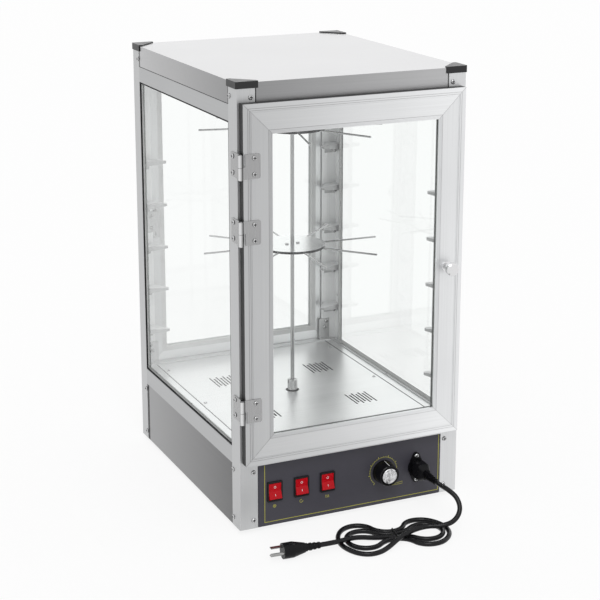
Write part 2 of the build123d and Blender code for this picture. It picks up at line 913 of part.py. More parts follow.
def hinge_leaf(level, upper, on_door):
    """One leaf at the front door, with its knuckle, its bore and its screw holes."""
    low, high = knuckle_span(level, upper)
    other_low, other_high = knuckle_span(level, not upper)
    with BuildPart() as piece:
        if on_door:
            with BuildSketch(upright_plane(pin_x + door_leaf_length / 2, -door_front, level)):
                Rectangle(door_leaf_length, hinge_height)
            extrude(amount=leaf_sheet)
            far_edges = piece.edges().filter_by(Axis.Y).group_by(Axis.X)[-1]
        else:
            with BuildSketch(Plane.YZ.offset(-half_width)):
                with Locations((pin_y + case_leaf_length / 2, level)):
                    Rectangle(case_leaf_length, hinge_height)
            extrude(amount=-leaf_sheet)
            far_edges = piece.edges().filter_by(Axis.X).group_by(Axis.Y)[-1]
        fillet(far_edges, leaf_round)
        with BuildSketch(Plane.XY.offset(other_low - knuckle_gap)):
            with Locations((pin_x, pin_y)):
                Rectangle(2 * leaf_cutback, 2 * leaf_cutback)
        extrude(amount=other_high - other_low + 2 * knuckle_gap, mode=Mode.SUBTRACT)
        with BuildSketch(Plane.XY.offset(low)):
            with Locations((pin_x, pin_y)):
                Circle(knuckle_diameter / 2)
        extrude(amount=high - low)
        with BuildSketch(Plane.XY.offset(level - hinge_height)):
            with Locations((pin_x, pin_y)):
                Circle(pin_diameter / 2 + (pin_clearance if on_door else pin_seat))
        extrude(amount=2 * hinge_height, mode=Mode.SUBTRACT)
        if on_door:
            with BuildSketch(upright_plane(0, -door_front, 0)):
                with Locations(*[place for place in hinge_screw_places() if abs(place[1] - level) < hinge_height]):
                    Circle(screw_shank_diameter / 2 + hole_clearance)
            extrude(amount=leaf_sheet, mode=Mode.SUBTRACT)
        else:
            with BuildSketch(Plane.YZ.offset(-half_width)):
                for side in (-1, 1):
                    with Locations((pin_y + case_screw_from_pin, level + side * leaf_screw_half_pitch)):
                        Circle(screw_shank_diameter / 2 + hole_clearance)
            extrude(amount=-leaf_sheet, mode=Mode.SUBTRACT)
    return piece.part


door_is_upper = (True, True, False)

with BuildPart() as door_leaves:
    for hinge_level, upper_half in zip(hinge_levels, door_is_upper):
        add(hinge_leaf(hinge_level, upper_half, True))

with BuildPart() as front_case_leaves:
    for hinge_level, upper_half in zip(hinge_levels, door_is_upper):
        add(hinge_leaf(hinge_level, not upper_half, False))

with BuildPart() as case_hinge_leaves:
    add(front_case_leaves.part)
    add(turned_half(front_case_leaves.part))
save(case_hinge_leaves.part, "case_hinge_leaves")

with BuildPart() as hinge_pins:
    for hinge_level in hinge_levels:
        with BuildSketch(Plane.XY.offset(hinge_level - hinge_height / 2 - pin_over)):
            with Locations((pin_x, pin_y), (-pin_x, -pin_y)):
                Circle(pin_diameter / 2)
        extrude(amount=hinge_height + 2 * pin_over)
save(hinge_pins.part, "hinge_pins")


# Screws
def screw(plane, length):
    """A chamfered head on the plane, with its shank below."""
    with BuildPart() as piece:
        with BuildSketch(plane):
            Circle(screw_head_diameter / 2)
        extrude(amount=screw_head_height)
        with BuildSketch(plane):
            Circle(screw_shank_diameter / 2)
        extrude(amount=-length)
    return piece.part


def facing(x, y, z, direction):
    """A plane at a point that faces a direction."""
    return Plane(origin=(x, y, z), z_dir=direction)


leaf_screw_length = leaf_sheet + post_wall - 0.1
brace_screw_length = brace_sheet + post_wall - 0.4
inlet_screw_length = inlet_flange + sheet + 2.0

with BuildPart() as case_screws:
    for side in (-1, 1):
        for screw_height in screw_heights:
            for end in (-1, 1):
                add(screw(facing(side * screw_x, end * half_depth, screw_height, (0, end, 0)), screw_length))
                add(screw(facing(side * half_width, end * screw_y, screw_height, (side, 0, 0)), screw_length))
        for hinge_level in hinge_levels:
            for half in (-1, 1):
                case_screw_y = side * (pin_y + case_screw_from_pin)
                case_screw_z = hinge_level + half * leaf_screw_half_pitch
                leaf_face = side * (-half_width - leaf_sheet)
                add(screw(facing(leaf_face, case_screw_y, case_screw_z, (-side, 0, 0)), leaf_screw_length))
        inlet_screw_z = inlet_level + side * inlet_screw_half_pitch
        inlet_face_y = -panel_face - inlet_flange
        add(screw(facing(inlet_x, inlet_face_y, inlet_screw_z, (0, -1, 0)), inlet_screw_length))
        for end in (-1, 1):
            for brace_x, brace_z in brace_screws:
                brace_face_y = end * (inner_y - brace_sheet)
                add(screw(facing(side * brace_x, brace_face_y, brace_z, (0, -end, 0)), brace_screw_length))
save(case_screws.part, "case_screws")

with BuildPart() as door_screws:
    for door_screw_x, door_screw_z in hinge_screw_places():
        add(screw(facing(door_screw_x, -door_front - leaf_sheet, door_screw_z, (0, -1, 0)), screw_length))

door_pieces = (
    (door_frame, "frame"),
    (door_seals, "seals"),
    (door_glass, "glass"),
    (door_knob, "knob"),
    (door_strike, "strike"),
    (door_leaves, "hinge_leaves"),
    (door_screws, "screws"),
)
for door_piece, piece_name in door_pieces:
    save(door_piece.part, f"front_door_{piece_name}")
    save(turned_half(door_piece.part), f"rear_door_{piece_name}")


# Door catches: a plate behind the post's end leg and a magnet bar in front of it, one at each door
with BuildPart() as front_catch:
    catch_left = half_width - catch_plate_from_corner
    with BuildSketch(upright_plane(0, -inner_y, 0)):
        with Locations((catch_left + catch_plate_width / 2, catch_level)):
            Rectangle(catch_plate_width, catch_plate_height)
    extrude(amount=-catch_sheet)
    with BuildSketch(upright_plane(0, -inner_y, 0)):
        with Locations((catch_left + magnet_width / 2, catch_level)):
            Rectangle(magnet_width, magnet_height)
    extrude(amount=post_wall + magnet_stand)

with BuildPart() as door_catches:
    add(front_catch.part)
    add(turned_half(front_catch.part))
save(door_catches.part, "door_catches")


# Rack: a shaft in a drive socket, with two rimmed discs on hubs and eight rods under each disc
socket_bore = motor_shaft_diameter / 2
shaft_seat = socket_top - 9.0

with BuildPart() as drive_socket:
    with BuildSketch(Plane.XY.offset(socket_bottom)):
        Circle(socket_diameter / 2)
    extrude(amount=socket_top - socket_bottom)
    with BuildSketch(Plane.XY.offset(motor_shaft_foot)):
        Circle(motor_shaft_diameter / 2)
    extrude(amount=socket_bottom - motor_shaft_foot)
    with BuildSketch(Plane.XY.offset(shaft_seat)):
        Circle(shaft_diameter / 2)
    extrude(amount=socket_top - shaft_seat, mode=Mode.SUBTRACT)
    with BuildSketch(Plane.XY.offset(socket_top - socket_slot_depth)):
        Rectangle(2 * socket_diameter, socket_slot_width)
    extrude(amount=socket_slot_depth, mode=Mode.SUBTRACT)
save(drive_socket.part, "drive_socket")

with BuildPart() as rack_shaft:
    with BuildSketch(Plane.XY.offset(shaft_seat)):
        Circle(shaft_diameter / 2)
    extrude(amount=disc_levels[1] + shaft_over - shaft_seat)
    with BuildSketch(Plane.YZ):
        with Locations((0, socket_top - socket_slot_depth + cross_pin_diameter / 2)):
            Circle(cross_pin_diameter / 2)
    extrude(amount=cross_pin_length / 2, both=True)
save(rack_shaft.part, "rack_shaft")


def rod_planes(level, turn):
    """Planes across the rods of one disc, at the rods' inner ends."""
    planes = []
    for index in range(rod_count):
        angle = math.radians(index * 360 / rod_count + turn)
        outward = (math.cos(angle), math.sin(angle), 0)
        place = (
            rod_inner_radius * math.cos(angle),
            rod_inner_radius * math.sin(angle),
            level - disc_sheet - rod_diameter / 2,
        )
        planes.append(Plane(origin=place, x_dir=(0, 0, 1), z_dir=outward))
    return planes


rod_length = rod_tip_radius - rod_inner_radius

with BuildPart() as rack_rods:
    for disc_level, rod_turn in zip(disc_levels, rod_turns):
        for rod_plane in rod_planes(disc_level, rod_turn):
            with BuildSketch(rod_plane):
                Circle(rod_diameter / 2)
            extrude(amount=rod_length)
save(rack_rods.part, "rack_rods")

disc_screw_half_pitch = 10.0
disc_stud_diameter = 3.0
disc_head_diameter = 6.0
disc_head = 1.6

with BuildPart() as rack_discs:
    for disc_level, rod_turn in zip(disc_levels, rod_turns):
        with BuildSketch(Plane.XY.offset(disc_level)):
            Circle(disc_radius)
        extrude(amount=-disc_rim)
        with BuildSketch(Plane.XY.offset(disc_level - disc_sheet)):
            Circle(disc_radius - disc_sheet)
        extrude(amount=-disc_rim, mode=Mode.SUBTRACT)
        with BuildSketch(Plane.XY.offset(disc_level)):
            Circle(shaft_diameter / 2)
            with Locations((-disc_screw_half_pitch, 0), (disc_screw_half_pitch, 0)):
                Circle(disc_stud_diameter / 2)
        extrude(amount=-disc_rim, mode=Mode.SUBTRACT)
        for rod_plane in rod_planes(disc_level - 0.5 * disc_sheet, rod_turn):
            with BuildSketch(rod_plane.offset(disc_radius - rod_inner_radius - 2 * disc_sheet)):
                Rectangle(rod_diameter + disc_sheet, rod_diameter + 2 * rod_notch_clearance)
            extrude(amount=3 * disc_sheet, mode=Mode.SUBTRACT)
save(rack_discs.part, "rack_discs")

with BuildPart() as rack_hubs:
    for disc_level in disc_levels:
        hub_top = disc_level - disc_sheet
        with BuildSketch(Plane.XY.offset(hub_top)):
            Circle(hub_flange_diameter / 2)
        extrude(amount=-hub_flange)
        with BuildSketch(Plane.XY.offset(hub_top)):
            Circle(hub_collar_diameter / 2)
        extrude(amount=-hub_flange - hub_collar)
        stud_places = ((-disc_screw_half_pitch, 0), (disc_screw_half_pitch, 0))
        with BuildSketch(Plane.XY.offset(hub_top)):
            with Locations(*stud_places):
                Circle(disc_stud_diameter / 2)
        extrude(amount=disc_sheet)
        with BuildSketch(Plane.XY.offset(disc_level)):
            with Locations(*stud_places):
                Circle(disc_head_diameter / 2)
        extrude(amount=disc_head)
        with BuildSketch(Plane.XY.offset(disc_level)):
            Circle(shaft_diameter / 2)
        extrude(amount=-2 * hub_collar, mode=Mode.SUBTRACT)
save(rack_hubs.part, "rack_hubs")


# Gear motor, hung under the floor in a bracket
with BuildPart() as gear_motor:
    with BuildSketch(Plane.XY.offset(motor_top)):
        Circle(motor_diameter / 2)
    extrude(amount=-motor_length)
    with BuildSketch(Plane.XY.offset(motor_top)):
        Circle(motor_boss_diameter / 2)
    extrude(amount=motor_boss)
    with BuildSketch(Plane.XY.offset(motor_top + motor_boss)):
        Circle(motor_shaft_diameter / 2 + shaft_running)
    extrude(amount=-(motor_top + motor_boss - motor_shaft_foot + 1), mode=Mode.SUBTRACT)
save(gear_motor.part, "gear_motor")

with BuildPart() as motor_bracket:
    with BuildSketch(Plane.XZ.offset(-bracket_half_width)):
        with BuildLine():
            Polyline(
                (-bracket_half_span - bracket_foot, floor_under),
                (-bracket_half_span + bracket_sheet, floor_under),
                (-bracket_half_span + bracket_sheet, motor_top + bracket_sheet),
                (bracket_half_span - bracket_sheet, motor_top + bracket_sheet),
                (bracket_half_span - bracket_sheet, floor_under),
                (bracket_half_span + bracket_foot, floor_under),
                (bracket_half_span + bracket_foot, floor_under - bracket_sheet),
                (bracket_half_span, floor_under - bracket_sheet),
                (bracket_half_span, motor_top),
                (-bracket_half_span, motor_top),
                (-bracket_half_span, floor_under - bracket_sheet),
                (-bracket_half_span - bracket_foot, floor_under - bracket_sheet),
                close=True,
            )
        make_face()
    extrude(amount=2 * bracket_half_width)
    with BuildSketch(Plane.XY.offset(motor_top)):
        Circle(motor_boss_diameter / 2 + bracket_hole_clearance)
    extrude(amount=bracket_sheet, mode=Mode.SUBTRACT)
save(motor_bracket.part, "motor_bracket")


# Heater: a bent tubular element clipped above a tray that stands on the base plate
base_top = foot_height + base_sheet
element_points = (
    (-element_terminal, element_front, element_level),
    (-element_half_span, element_front, element_level),
    (-element_half_span, element_rear, element_level),
    (element_half_span, element_rear, element_level),
    (element_half_span, element_front, element_level),
    (element_terminal, element_front, element_level),
)

with BuildPart() as heating_element:
    with BuildLine() as element_line:
        FilletPolyline(*element_points, radius=element_bend)
    with BuildSketch(facing(*element_points[0], (-1, 0, 0))):
        Circle(element_diameter / 2)
    sweep(path=element_line.line)
save(heating_element.part, "heating_element")

tray_half_x = element_half_span + tray_margin
tray_front = element_front - tray_margin
tray_rear = element_rear + tray_margin

with BuildPart() as heat_tray:
    with BuildSketch(Plane.XY.offset(tray_level)):
        with Locations((0, (tray_front + tray_rear) / 2)):
            Rectangle(2 * tray_half_x, tray_rear - tray_front)
        Circle(tray_hole_diameter / 2, mode=Mode.SUBTRACT)
    extrude(amount=-tray_sheet)
    for side in (-1, 1):
        for leg_y in (element_front, element_rear):
            with BuildSketch(Plane.XY.offset(base_top)):
                with Locations((side * (tray_half_x - tray_sheet / 2), leg_y)):
                    Rectangle(tray_sheet, tray_leg_width)
            extrude(amount=tray_level - base_top)
            with BuildSketch(Plane.XY.offset(base_top)):
                with Locations((side * (tray_half_x + tray_foot / 2 - tray_sheet), leg_y)):
                    Rectangle(tray_foot, tray_leg_width)
            extrude(amount=tray_sheet)
        clip_places = ((side * element_half_span, -clip_y), (side * element_half_span, clip_y))
        with BuildSketch(Plane.XY.offset(tray_level)):
            with Locations(*clip_places):
                Rectangle(clip_width, clip_length)
        extrude(amount=element_level - tray_level + element_diameter / 2 + tray_sheet)
    with BuildSketch(Plane.XZ.offset(-tray_rear)):
        with Locations((-element_half_span, element_level), (element_half_span, element_level)):
            Circle(element_diameter / 2 + clip_grip)
    extrude(amount=tray_rear - tray_front, mode=Mode.SUBTRACT)
save(heat_tray.part, "heat_tray")


# Rocker switches
pivot_y = -panel_face - bezel_thickness + rocker_pivot_depth


def rocker_plane(x):
    """The rocker's own plane in its off place: x upwards, y outwards, z to the right."""
    tilt = math.radians(rocker_throw)
    return Plane(origin=(x, pivot_y, switch_level), x_dir=(0, math.sin(tilt), math.cos(tilt)), z_dir=(1, 0, 0))


def rocker(x):
    """A saddle-faced rocker with a pivot pin at each side."""
    edge = math.radians(rocker_end_angle)
    tip = (rocker_end_radius * math.cos(edge), rocker_end_radius * math.sin(edge))
    low = (math.sqrt(rocker_end_radius**2 - rocker_back**2), -rocker_back)
    half = well_width / 2 - rocker_side_gap
    with BuildPart() as piece:
        with BuildSketch(rocker_plane(x)):
            with BuildLine():
                Polyline((-tip[0], tip[1]), (0, rocker_saddle), tip)
                ThreePointArc(tip, (rocker_end_radius, 0), low)
                Line(low, (-low[0], low[1]))
                ThreePointArc((-low[0], low[1]), (-rocker_end_radius, 0), (-tip[0], tip[1]))
            make_face()
        extrude(amount=half, both=True)
        with BuildSketch(rocker_plane(x)):
            Circle(rocker_pin_diameter / 2)
        extrude(amount=half + rocker_side_gap + rocker_pin_length, both=True)
    return piece.part


for switch_x, switch_name in zip(switch_places, ("rocker_light", "rocker_motor", "rocker_heat")):
    save(rocker(switch_x), switch_name)

with BuildPart() as switch_housings:
    for switch_x in switch_places:
        with BuildSketch(upright_plane(switch_x, -panel_face, switch_level)):
            RectangleRounded(bezel_width, bezel_height, 1.5)
        extrude(amount=bezel_thickness)
        with BuildSketch(upright_plane(switch_x, -panel_face, switch_level)):
            Rectangle(housing_width, housing_height)
        extrude(amount=-housing_depth)
        with BuildSketch(upright_plane(switch_x, -panel_face - bezel_thickness, switch_level)):
            Rectangle(well_width, well_height)
        extrude(amount=-well_depth, mode=Mode.SUBTRACT)
        with BuildSketch(rocker_plane(switch_x)):
            Circle(rocker_pin_diameter / 2 + rocker_pin_clearance)
        extrude(amount=housing_width, both=True, mode=Mode.SUBTRACT)
        with BuildSketch(upright_plane(switch_x, -panel_face + housing_depth, switch_level)):
            for tab in (-1, 0, 1):
                with Locations((0, tab * terminal_tab_pitch)):
                    Rectangle(terminal_tab_width, terminal_tab_sheet)
        extrude(amount=-terminal_tab_length)
save(switch_housings.part, "switch_housings")


# Thermostat: body with its shaft and sensing bulb, and the knob with its metal insert
dial_back_y = -panel_face - dial_stand
dial_front_y = dial_back_y - dial_height

with BuildPart() as thermostat_body:
    with BuildSketch(upright_plane(dial_x, -panel_back, dial_level)):
        Rectangle(thermostat_width, thermostat_height)
    extrude(amount=-thermostat_depth)
    with BuildSketch(upright_plane(dial_x, -panel_back + dial_shaft_in_body, dial_level)):
        Circle(dial_shaft_diameter / 2)
    extrude(amount=dial_shaft_in_body + panel_face - panel_back + dial_stand + dial_shaft_in_knob - 1)
    body_rear_y = -panel_back + thermostat_depth
    bulb_start = (bulb_x, body_rear_y + bulb_from_body, dial_level)
    with BuildLine() as capillary:
        FilletPolyline(
            (dial_x, body_rear_y - 1, dial_level),
            (dial_x, body_rear_y + 15, dial_level),
            (bulb_x, body_rear_y + 15, dial_level),
            bulb_start,
            radius=capillary_bend,
        )
    with BuildSketch(facing(dial_x, body_rear_y - 1, dial_level, (0, 1, 0))):
        Circle(capillary_diameter / 2)
    sweep(path=capillary.line)
    with BuildSketch(facing(*bulb_start, (0, 1, 0))):
        Circle(bulb_diameter / 2)
    extrude(amount=bulb_length)
save(thermostat_body.part, "thermostat_body")

with BuildPart() as thermostat_knob:
    knob_rim = 0.8
    insert_floor = dial_height - dial_insert_thickness + dial_insert_show
    shaft_bore = dial_shaft_diameter / 2 + shaft_running
    with BuildSketch(Plane(origin=(dial_x, dial_back_y, dial_level), x_dir=(1, 0, 0), z_dir=(0, 0, -1))):
        with BuildLine():
            Polyline(
                (shaft_bore, 0),
                (dial_diameter / 2, 0),
                (dial_top_diameter / 2, dial_height - knob_rim),
                (dial_top_diameter / 2 - knob_rim, dial_height),
                (dial_insert_diameter / 2, dial_height),
                (dial_insert_diameter / 2, insert_floor),
                (0, insert_floor),
                (0, dial_shaft_in_knob),
                (shaft_bore, dial_shaft_in_knob),
                close=True,
            )
        make_face()
    revolve(axis=Axis((dial_x, dial_back_y, dial_level), (0, -1, 0)))
save(thermostat_knob.part, "thermostat_knob")

with BuildPart() as knob_insert:
    with BuildSketch(upright_plane(dial_x, dial_front_y + dial_insert_thickness - dial_insert_show, dial_level)):
        Circle(dial_insert_diameter / 2)
    extrude(amount=dial_insert_thickness)
    chamfer(knob_insert.faces().sort_by(Axis.Y)[0].edges(), 0.4)
save(knob_insert.part, "knob_insert")


# Mains inlet
contact_places = ((-2, contact_pitch), (-2, -contact_pitch), (3, 0))
inlet_front_y = -panel_face - inlet_flange
well_floor_y = inlet_front_y + inlet_well_depth


def inlet_plane(y):
    """The inlet's plane, facing the front."""
    return upright_plane(inlet_x, y, inlet_level)


with BuildPart() as power_inlet:
    with BuildSketch(inlet_plane(-panel_face)):
        Circle(inlet_boss_radius)
        with Locations((0, -inlet_screw_half_pitch), (0, inlet_screw_half_pitch)):
            Circle(inlet_ear_radius)
        make_hull()
        with Locations((0, -inlet_screw_half_pitch), (0, inlet_screw_half_pitch)):
            Circle(screw_shank_diameter / 2 + hole_clearance, mode=Mode.SUBTRACT)
    extrude(amount=inlet_flange)
    with BuildSketch(inlet_plane(-panel_face)):
        RectangleRounded(inlet_body_width, inlet_body_height, inlet_corner)
    extrude(amount=-inlet_body_depth)
    with BuildSketch(inlet_plane(inlet_front_y)):
        RectangleRounded(inlet_well_width, inlet_well_height, inlet_corner - 1)
    extrude(amount=-inlet_well_depth, mode=Mode.SUBTRACT)
    with BuildSketch(inlet_plane(well_floor_y)):
        with Locations(*contact_places):
            Rectangle(contact_width, contact_height)
    extrude(amount=contact_length)
save(power_inlet.part, "power_inlet")


# Terminal block
with BuildPart() as terminal_block:
    with BuildSketch(Plane.XY.offset(base_top)):
        with Locations((block_x, block_y)):
            Rectangle(block_width, block_length)
    extrude(amount=block_height)
    with BuildSketch(Plane.XY.offset(base_top + block_height)):
        with Locations((block_x, block_y)):
            with GridLocations(block_width / 2, block_length / block_wells, 2, block_wells):
                Circle(block_well_diameter / 2)
    extrude(amount=-block_well_depth, mode=Mode.SUBTRACT)
save(terminal_block.part, "terminal_block")


# Lamp: holder on a bracket under the lid, with its bulb lying along the case's width
lamp_level = lid_top - lamp_drop
lamp_plane = Plane(origin=(lamp_holder_x, 0, lamp_level), x_dir=(0, 1, 0), z_dir=(1, 0, 0))
bulb_seat_x = lamp_holder_x + lamp_holder_length - lamp_bore_depth

with BuildPart() as lamp_holder:
    with BuildSketch(lamp_plane):
        Circle(lamp_holder_diameter / 2)
    extrude(amount=lamp_holder_length)
    with BuildSketch(lamp_plane.offset(lamp_holder_length)):
        Circle(lamp_bore_diameter / 2)
    extrude(amount=-lamp_bore_depth, mode=Mode.SUBTRACT)
    with BuildSketch(lamp_plane):
        with Locations((0, (lamp_drop - sheet - lamp_holder_diameter / 2) / 2)):
            Rectangle(lamp_bracket_width, lamp_drop - sheet + lamp_holder_diameter / 2)
    extrude(amount=-lamp_bracket_sheet)
    with BuildSketch(Plane.XY.offset(lid_top - sheet)):
        with Locations((lamp_holder_x - lamp_bracket_foot / 2, 0)):
            Rectangle(lamp_bracket_foot, lamp_bracket_width)
    extrude(amount=-lamp_bracket_sheet)
save(lamp_holder.part, "lamp_holder")

with BuildPart() as lamp_bulb:
    glass_centre = bulb_total_length - bulb_glass_radius
    with BuildSketch(Plane(origin=(bulb_seat_x, 0, lamp_level), x_dir=(1, 0, 0), z_dir=(0, 0, 1))):
        with BuildLine():
            Line((0, 0), (0, bulb_neck_radius - 1))
            Line((0, bulb_neck_radius - 1), (bulb_cap_length, bulb_neck_radius - 1))
            Spline(
                (bulb_cap_length, bulb_neck_radius - 1),
                (glass_centre, bulb_glass_radius),
                tangents=((1, 0.25), (1, 0)),
            )
            ThreePointArc(
                (glass_centre, bulb_glass_radius),
                (glass_centre + bulb_glass_radius * math.sqrt(0.5), bulb_glass_radius * math.sqrt(0.5)),
                (bulb_total_length, 0),
            )
            Line((bulb_total_length, 0), (0, 0))
        make_face()
    revolve(axis=Axis((bulb_seat_x, 0, lamp_level), (1, 0, 0)))
save(lamp_bulb.part, "lamp_bulb")


# Mains lead: connector with its strain relief
connector_face_y = inlet_front_y - connector_nose_gap
connector_shoulder_y = connector_face_y - connector_length + connector_shoulder
connector_end_y = connector_face_y - connector_length
relief_end_y = connector_end_y - relief_length
nose_length = inlet_well_depth - 1.0
nose_gap = 0.2


def relief_profile(length, start_diameter, end_diameter, rings):
    """The points of half the outline of a tapered, grooved relief, along x from its start."""
    points = [(0, 0), (0, start_diameter / 2)]
    step = length / (2 * rings + 1)
    for index in range(2 * rings + 1):
        along = (index + 0.5) / (2 * rings + 1)
        radius = (start_diameter + (end_diameter - start_diameter) * along) / 2
        depth = 0.9 if index % 2 else 0.0
        points.append((index * step, radius - depth))
        points.append(((index + 1) * step, radius - depth))
    points.append((length, 0))
    return points


with BuildPart() as cord_connector:
    with BuildSketch(inlet_plane(connector_face_y)):
        RectangleRounded(connector_width, connector_height, inlet_corner)
    extrude(amount=connector_length - connector_shoulder)
    with BuildSketch(inlet_plane(connector_shoulder_y)):
        RectangleRounded(connector_width, connector_height, inlet_corner)
    with BuildSketch(inlet_plane(connector_end_y)):
        RectangleRounded(relief_start_diameter, relief_start_diameter + 3, inlet_corner)
    loft()
    with BuildSketch(inlet_plane(connector_face_y)):
        RectangleRounded(inlet_well_width - 2 * nose_gap, inlet_well_height - 2 * nose_gap, inlet_corner - 1)
    extrude(amount=-nose_length)
    with BuildSketch(inlet_plane(connector_face_y + nose_length)):
        with Locations(*contact_places):
            Rectangle(contact_width + 2 * nose_gap, contact_height + 2 * nose_gap)
    extrude(amount=contact_length, mode=Mode.SUBTRACT)
    with BuildSketch(Plane(origin=(inlet_x, connector_end_y, inlet_level), x_dir=(0, -1, 0), z_dir=(0, 0, 1))):
        with BuildLine():
            Polyline(*relief_profile(relief_length, relief_start_diameter, relief_end_diameter, relief_rings), close=True)
        make_face()
    revolve(axis=Axis((inlet_x, connector_end_y, inlet_level), (0, -1, 0)))
save(cord_connector.part, "cord_connector")


# The tied hank: a figure of two loops, drawn about the middle of its waist
hank_middle = (hank_x, -half_depth - hank_from_case, cord_floor)
hank_frame = Plane(origin=hank_middle, x_dir=(1, 0, 0), z_dir=(0, 0, 1)).rotated((0, 0, hank_turn))


def lobe(half_spacing, waist_radius, waist_turn, shoulder_radius, shoulder_turn):
    """The arcs of one lobe from waist to waist, as radius and turn; the end arc's radius closes it."""
    turn = math.radians(waist_turn)
    crest = half_spacing + (waist_radius + shoulder_radius) * (1 - math.cos(turn))
    end_radius = shoulder_radius + (crest - shoulder_radius) / math.cos(math.radians(shoulder_turn))
    shoulder = (shoulder_radius, -waist_turn - shoulder_turn)
    end_turn = 90 - shoulder_turn
    return [
        (waist_radius, waist_turn),
        shoulder,
        (end_radius, -end_turn),
        (end_radius, -end_turn),
        shoulder,
        (waist_radius, waist_turn),
    ]


landing_turn = 30.0
left_outer = lobe(2 * strand_pitch, 30.0, 68.0, 25.0, 40.0)
right_outer = lobe(1.5 * strand_pitch, 27.0, 68.0, 24.5, 15.0)
left_inner = lobe(strand_pitch, 38.5, 50.0, 24.0, 30.0)
right_inner = lobe(0.5 * strand_pitch, 56.5, 40.6, 23.4, 0.0)
landing_arc = (left_outer[1][0], -landing_turn - 40.0)
hank_arcs = [landing_arc] + left_outer[2:] + right_outer + left_inner + right_inner


def lobe_point(half_spacing, arcs, shoulder_angle):
    """How far out and how far up the first shoulder arc is where it heads outwards by an angle."""
    waist_radius, waist_turn = arcs[0]
    radius = arcs[1][0]
    turn = math.radians(waist_turn)
    centre_out = (waist_radius + radius) * math.sin(turn)
    centre_up = half_spacing + (waist_radius + radius) * (1 - math.cos(turn)) - radius
    angle = math.radians(shoulder_angle)
    return centre_out - radius * math.sin(angle), centre_up + radius * math.cos(angle)


landing_out, landing_up = lobe_point(2 * strand_pitch, left_outer, landing_turn)
landing_heading = math.radians(180 + landing_turn)
landing = Vector(-landing_out, -0.5 * strand_pitch - landing_up)
landing_step = Vector(math.cos(landing_heading), math.sin(landing_heading)) * cord_diameter
hank_start = landing - landing_step

with BuildLine() as hank_line:
    last = Line(hank_start, landing)
    for arc_radius, arc_turn in hank_arcs:
        last = JernArc(start=last @ 1, tangent=last % 1, radius=arc_radius, arc_size=arc_turn)
    last = Line(last @ 1, (last @ 1) + (last % 1) * cord_diameter)
hank_wire = hank_line.wires()[0]
hank_end = hank_wire @ 1

with BuildPart() as hank_tube:
    with BuildSketch(facing(hank_start.X, hank_start.Y, 0, hank_wire % 0)):
        Circle(cord_diameter / 2)
    sweep(path=hank_wire)
save(hank_tube.part.moved(hank_frame.location), "cord_hank")


def least_gap(wire, diameter, steps=900):
    """The least clear distance between parts of the tube that aren't neighbours along it."""
    spots = [wire.position_at(index / steps) for index in range(steps + 1)]
    apart = int(4 * diameter / (wire.length / steps))
    return min(
        (spots[first] - spots[second]).length
        for first in range(len(spots))
        for second in range(first + apart, len(spots))
    ) - diameter


print(f"hank length {hank_wire.length:.0f}, least gap to itself {least_gap(hank_wire, cord_diameter):.2f}")


def hank_spot(out, up, height):
    """A point given along and across the hank, at a height above the table."""
    spot = hank_frame.from_local_coords(Vector(out, up))
    return (spot.X, spot.Y, height)


# The tie, an open hoop of coated wire over the waist
tie_radius = cord_diameter / 2 + tie_gap + tie_wire_diameter / 2
tie_side = 1.5 * strand_pitch + tie_radius
tie_points = ((-tie_side, tie_wire_diameter / 2 - cord_floor), (-tie_side, tie_radius))
tie_points = tie_points + tuple((-x, y) for x, y in reversed(tie_points))

with BuildPart() as tie_hoop:
    with BuildLine() as tie_line:
        FilletPolyline(*[(tie_x, across, up) for across, up in tie_points], radius=tie_radius)
    with BuildSketch(facing(tie_x, tie_points[0][0], tie_points[0][1], (0, 0, 1))):
        Circle(tie_wire_diameter / 2)
    sweep(path=tie_line.line)
save(tie_hoop.part.moved(hank_frame.location), "hank_tie")


# The cord's free stretches
def route_radii(points):
    """A tangent arc for each corner, as large as its two runs allow."""
    radii = []
    for before, corner, after in zip(points, points[1:], points[2:]):
        run_in = Vector(corner) - Vector(before)
        run_out = Vector(after) - Vector(corner)
        half_angle = math.radians(run_in.get_angle(run_out)) / 2
        radii.append(0.45 * min(run_in.length, run_out.length) / math.tan(half_angle))
    return radii


def cord_tube(points, name):
    """A round tube along straight runs joined by tangent arcs."""
    radii = route_radii(points)
    with BuildPart() as tube:
        with BuildLine() as route:
            FilletPolyline(*points, radius=radii)
        with BuildSketch(facing(*points[0], Vector(points[1]) - Vector(points[0]))):
            Circle(cord_diameter / 2)
        sweep(path=route.line)
    run = route.wires()[0].length
    full = math.pi * cord_diameter**2 / 4 * run
    print(f"{name}: length {run:.0f}, volume share {tube.part.volume / full:.4f}")
    print(f"{name}: radii {[round(radius) for radius in radii]}")
    save(tube.part, name)


lead_start = hank_spot(hank_start.X, hank_start.Y, cord_floor)
lead_landing = landing - landing_step * 3.6
lead_route = (
    (inlet_x, relief_end_y, inlet_level),
    (inlet_x, relief_end_y - 14.5, inlet_level),
    *[(inlet_x + aside, -half_depth - ahead, height) for aside, ahead, height in lead_drop],
    hank_spot(48, -2, 14.5),
    hank_spot(8, -20.5, 13.5),
    hank_spot(lead_landing.X, lead_landing.Y, cord_floor),
    lead_start,
)
cord_tube(lead_route, "cord_lead")

plug_start = hank_spot(*plug_place, plug_level)
tail_route = (
    hank_spot(hank_end.X, hank_end.Y, cord_floor),
    hank_spot(-28, -4.15, cord_floor),
    hank_spot(-64, -10, 13),
    hank_spot(-98, -20, plug_level),
    plug_start,
)
cord_tube(tail_route, "cord_tail")


# Plug: relief, moulded body and three pins
plug_direction = (Vector(tail_route[-1]) - Vector(tail_route[-2])).normalized()
plug_plane = Plane(origin=plug_start, x_dir=Vector(0, 0, 1).cross(plug_direction), z_dir=plug_direction)
plug_face_plane = plug_plane.offset(plug_relief_length + plug_body_length)

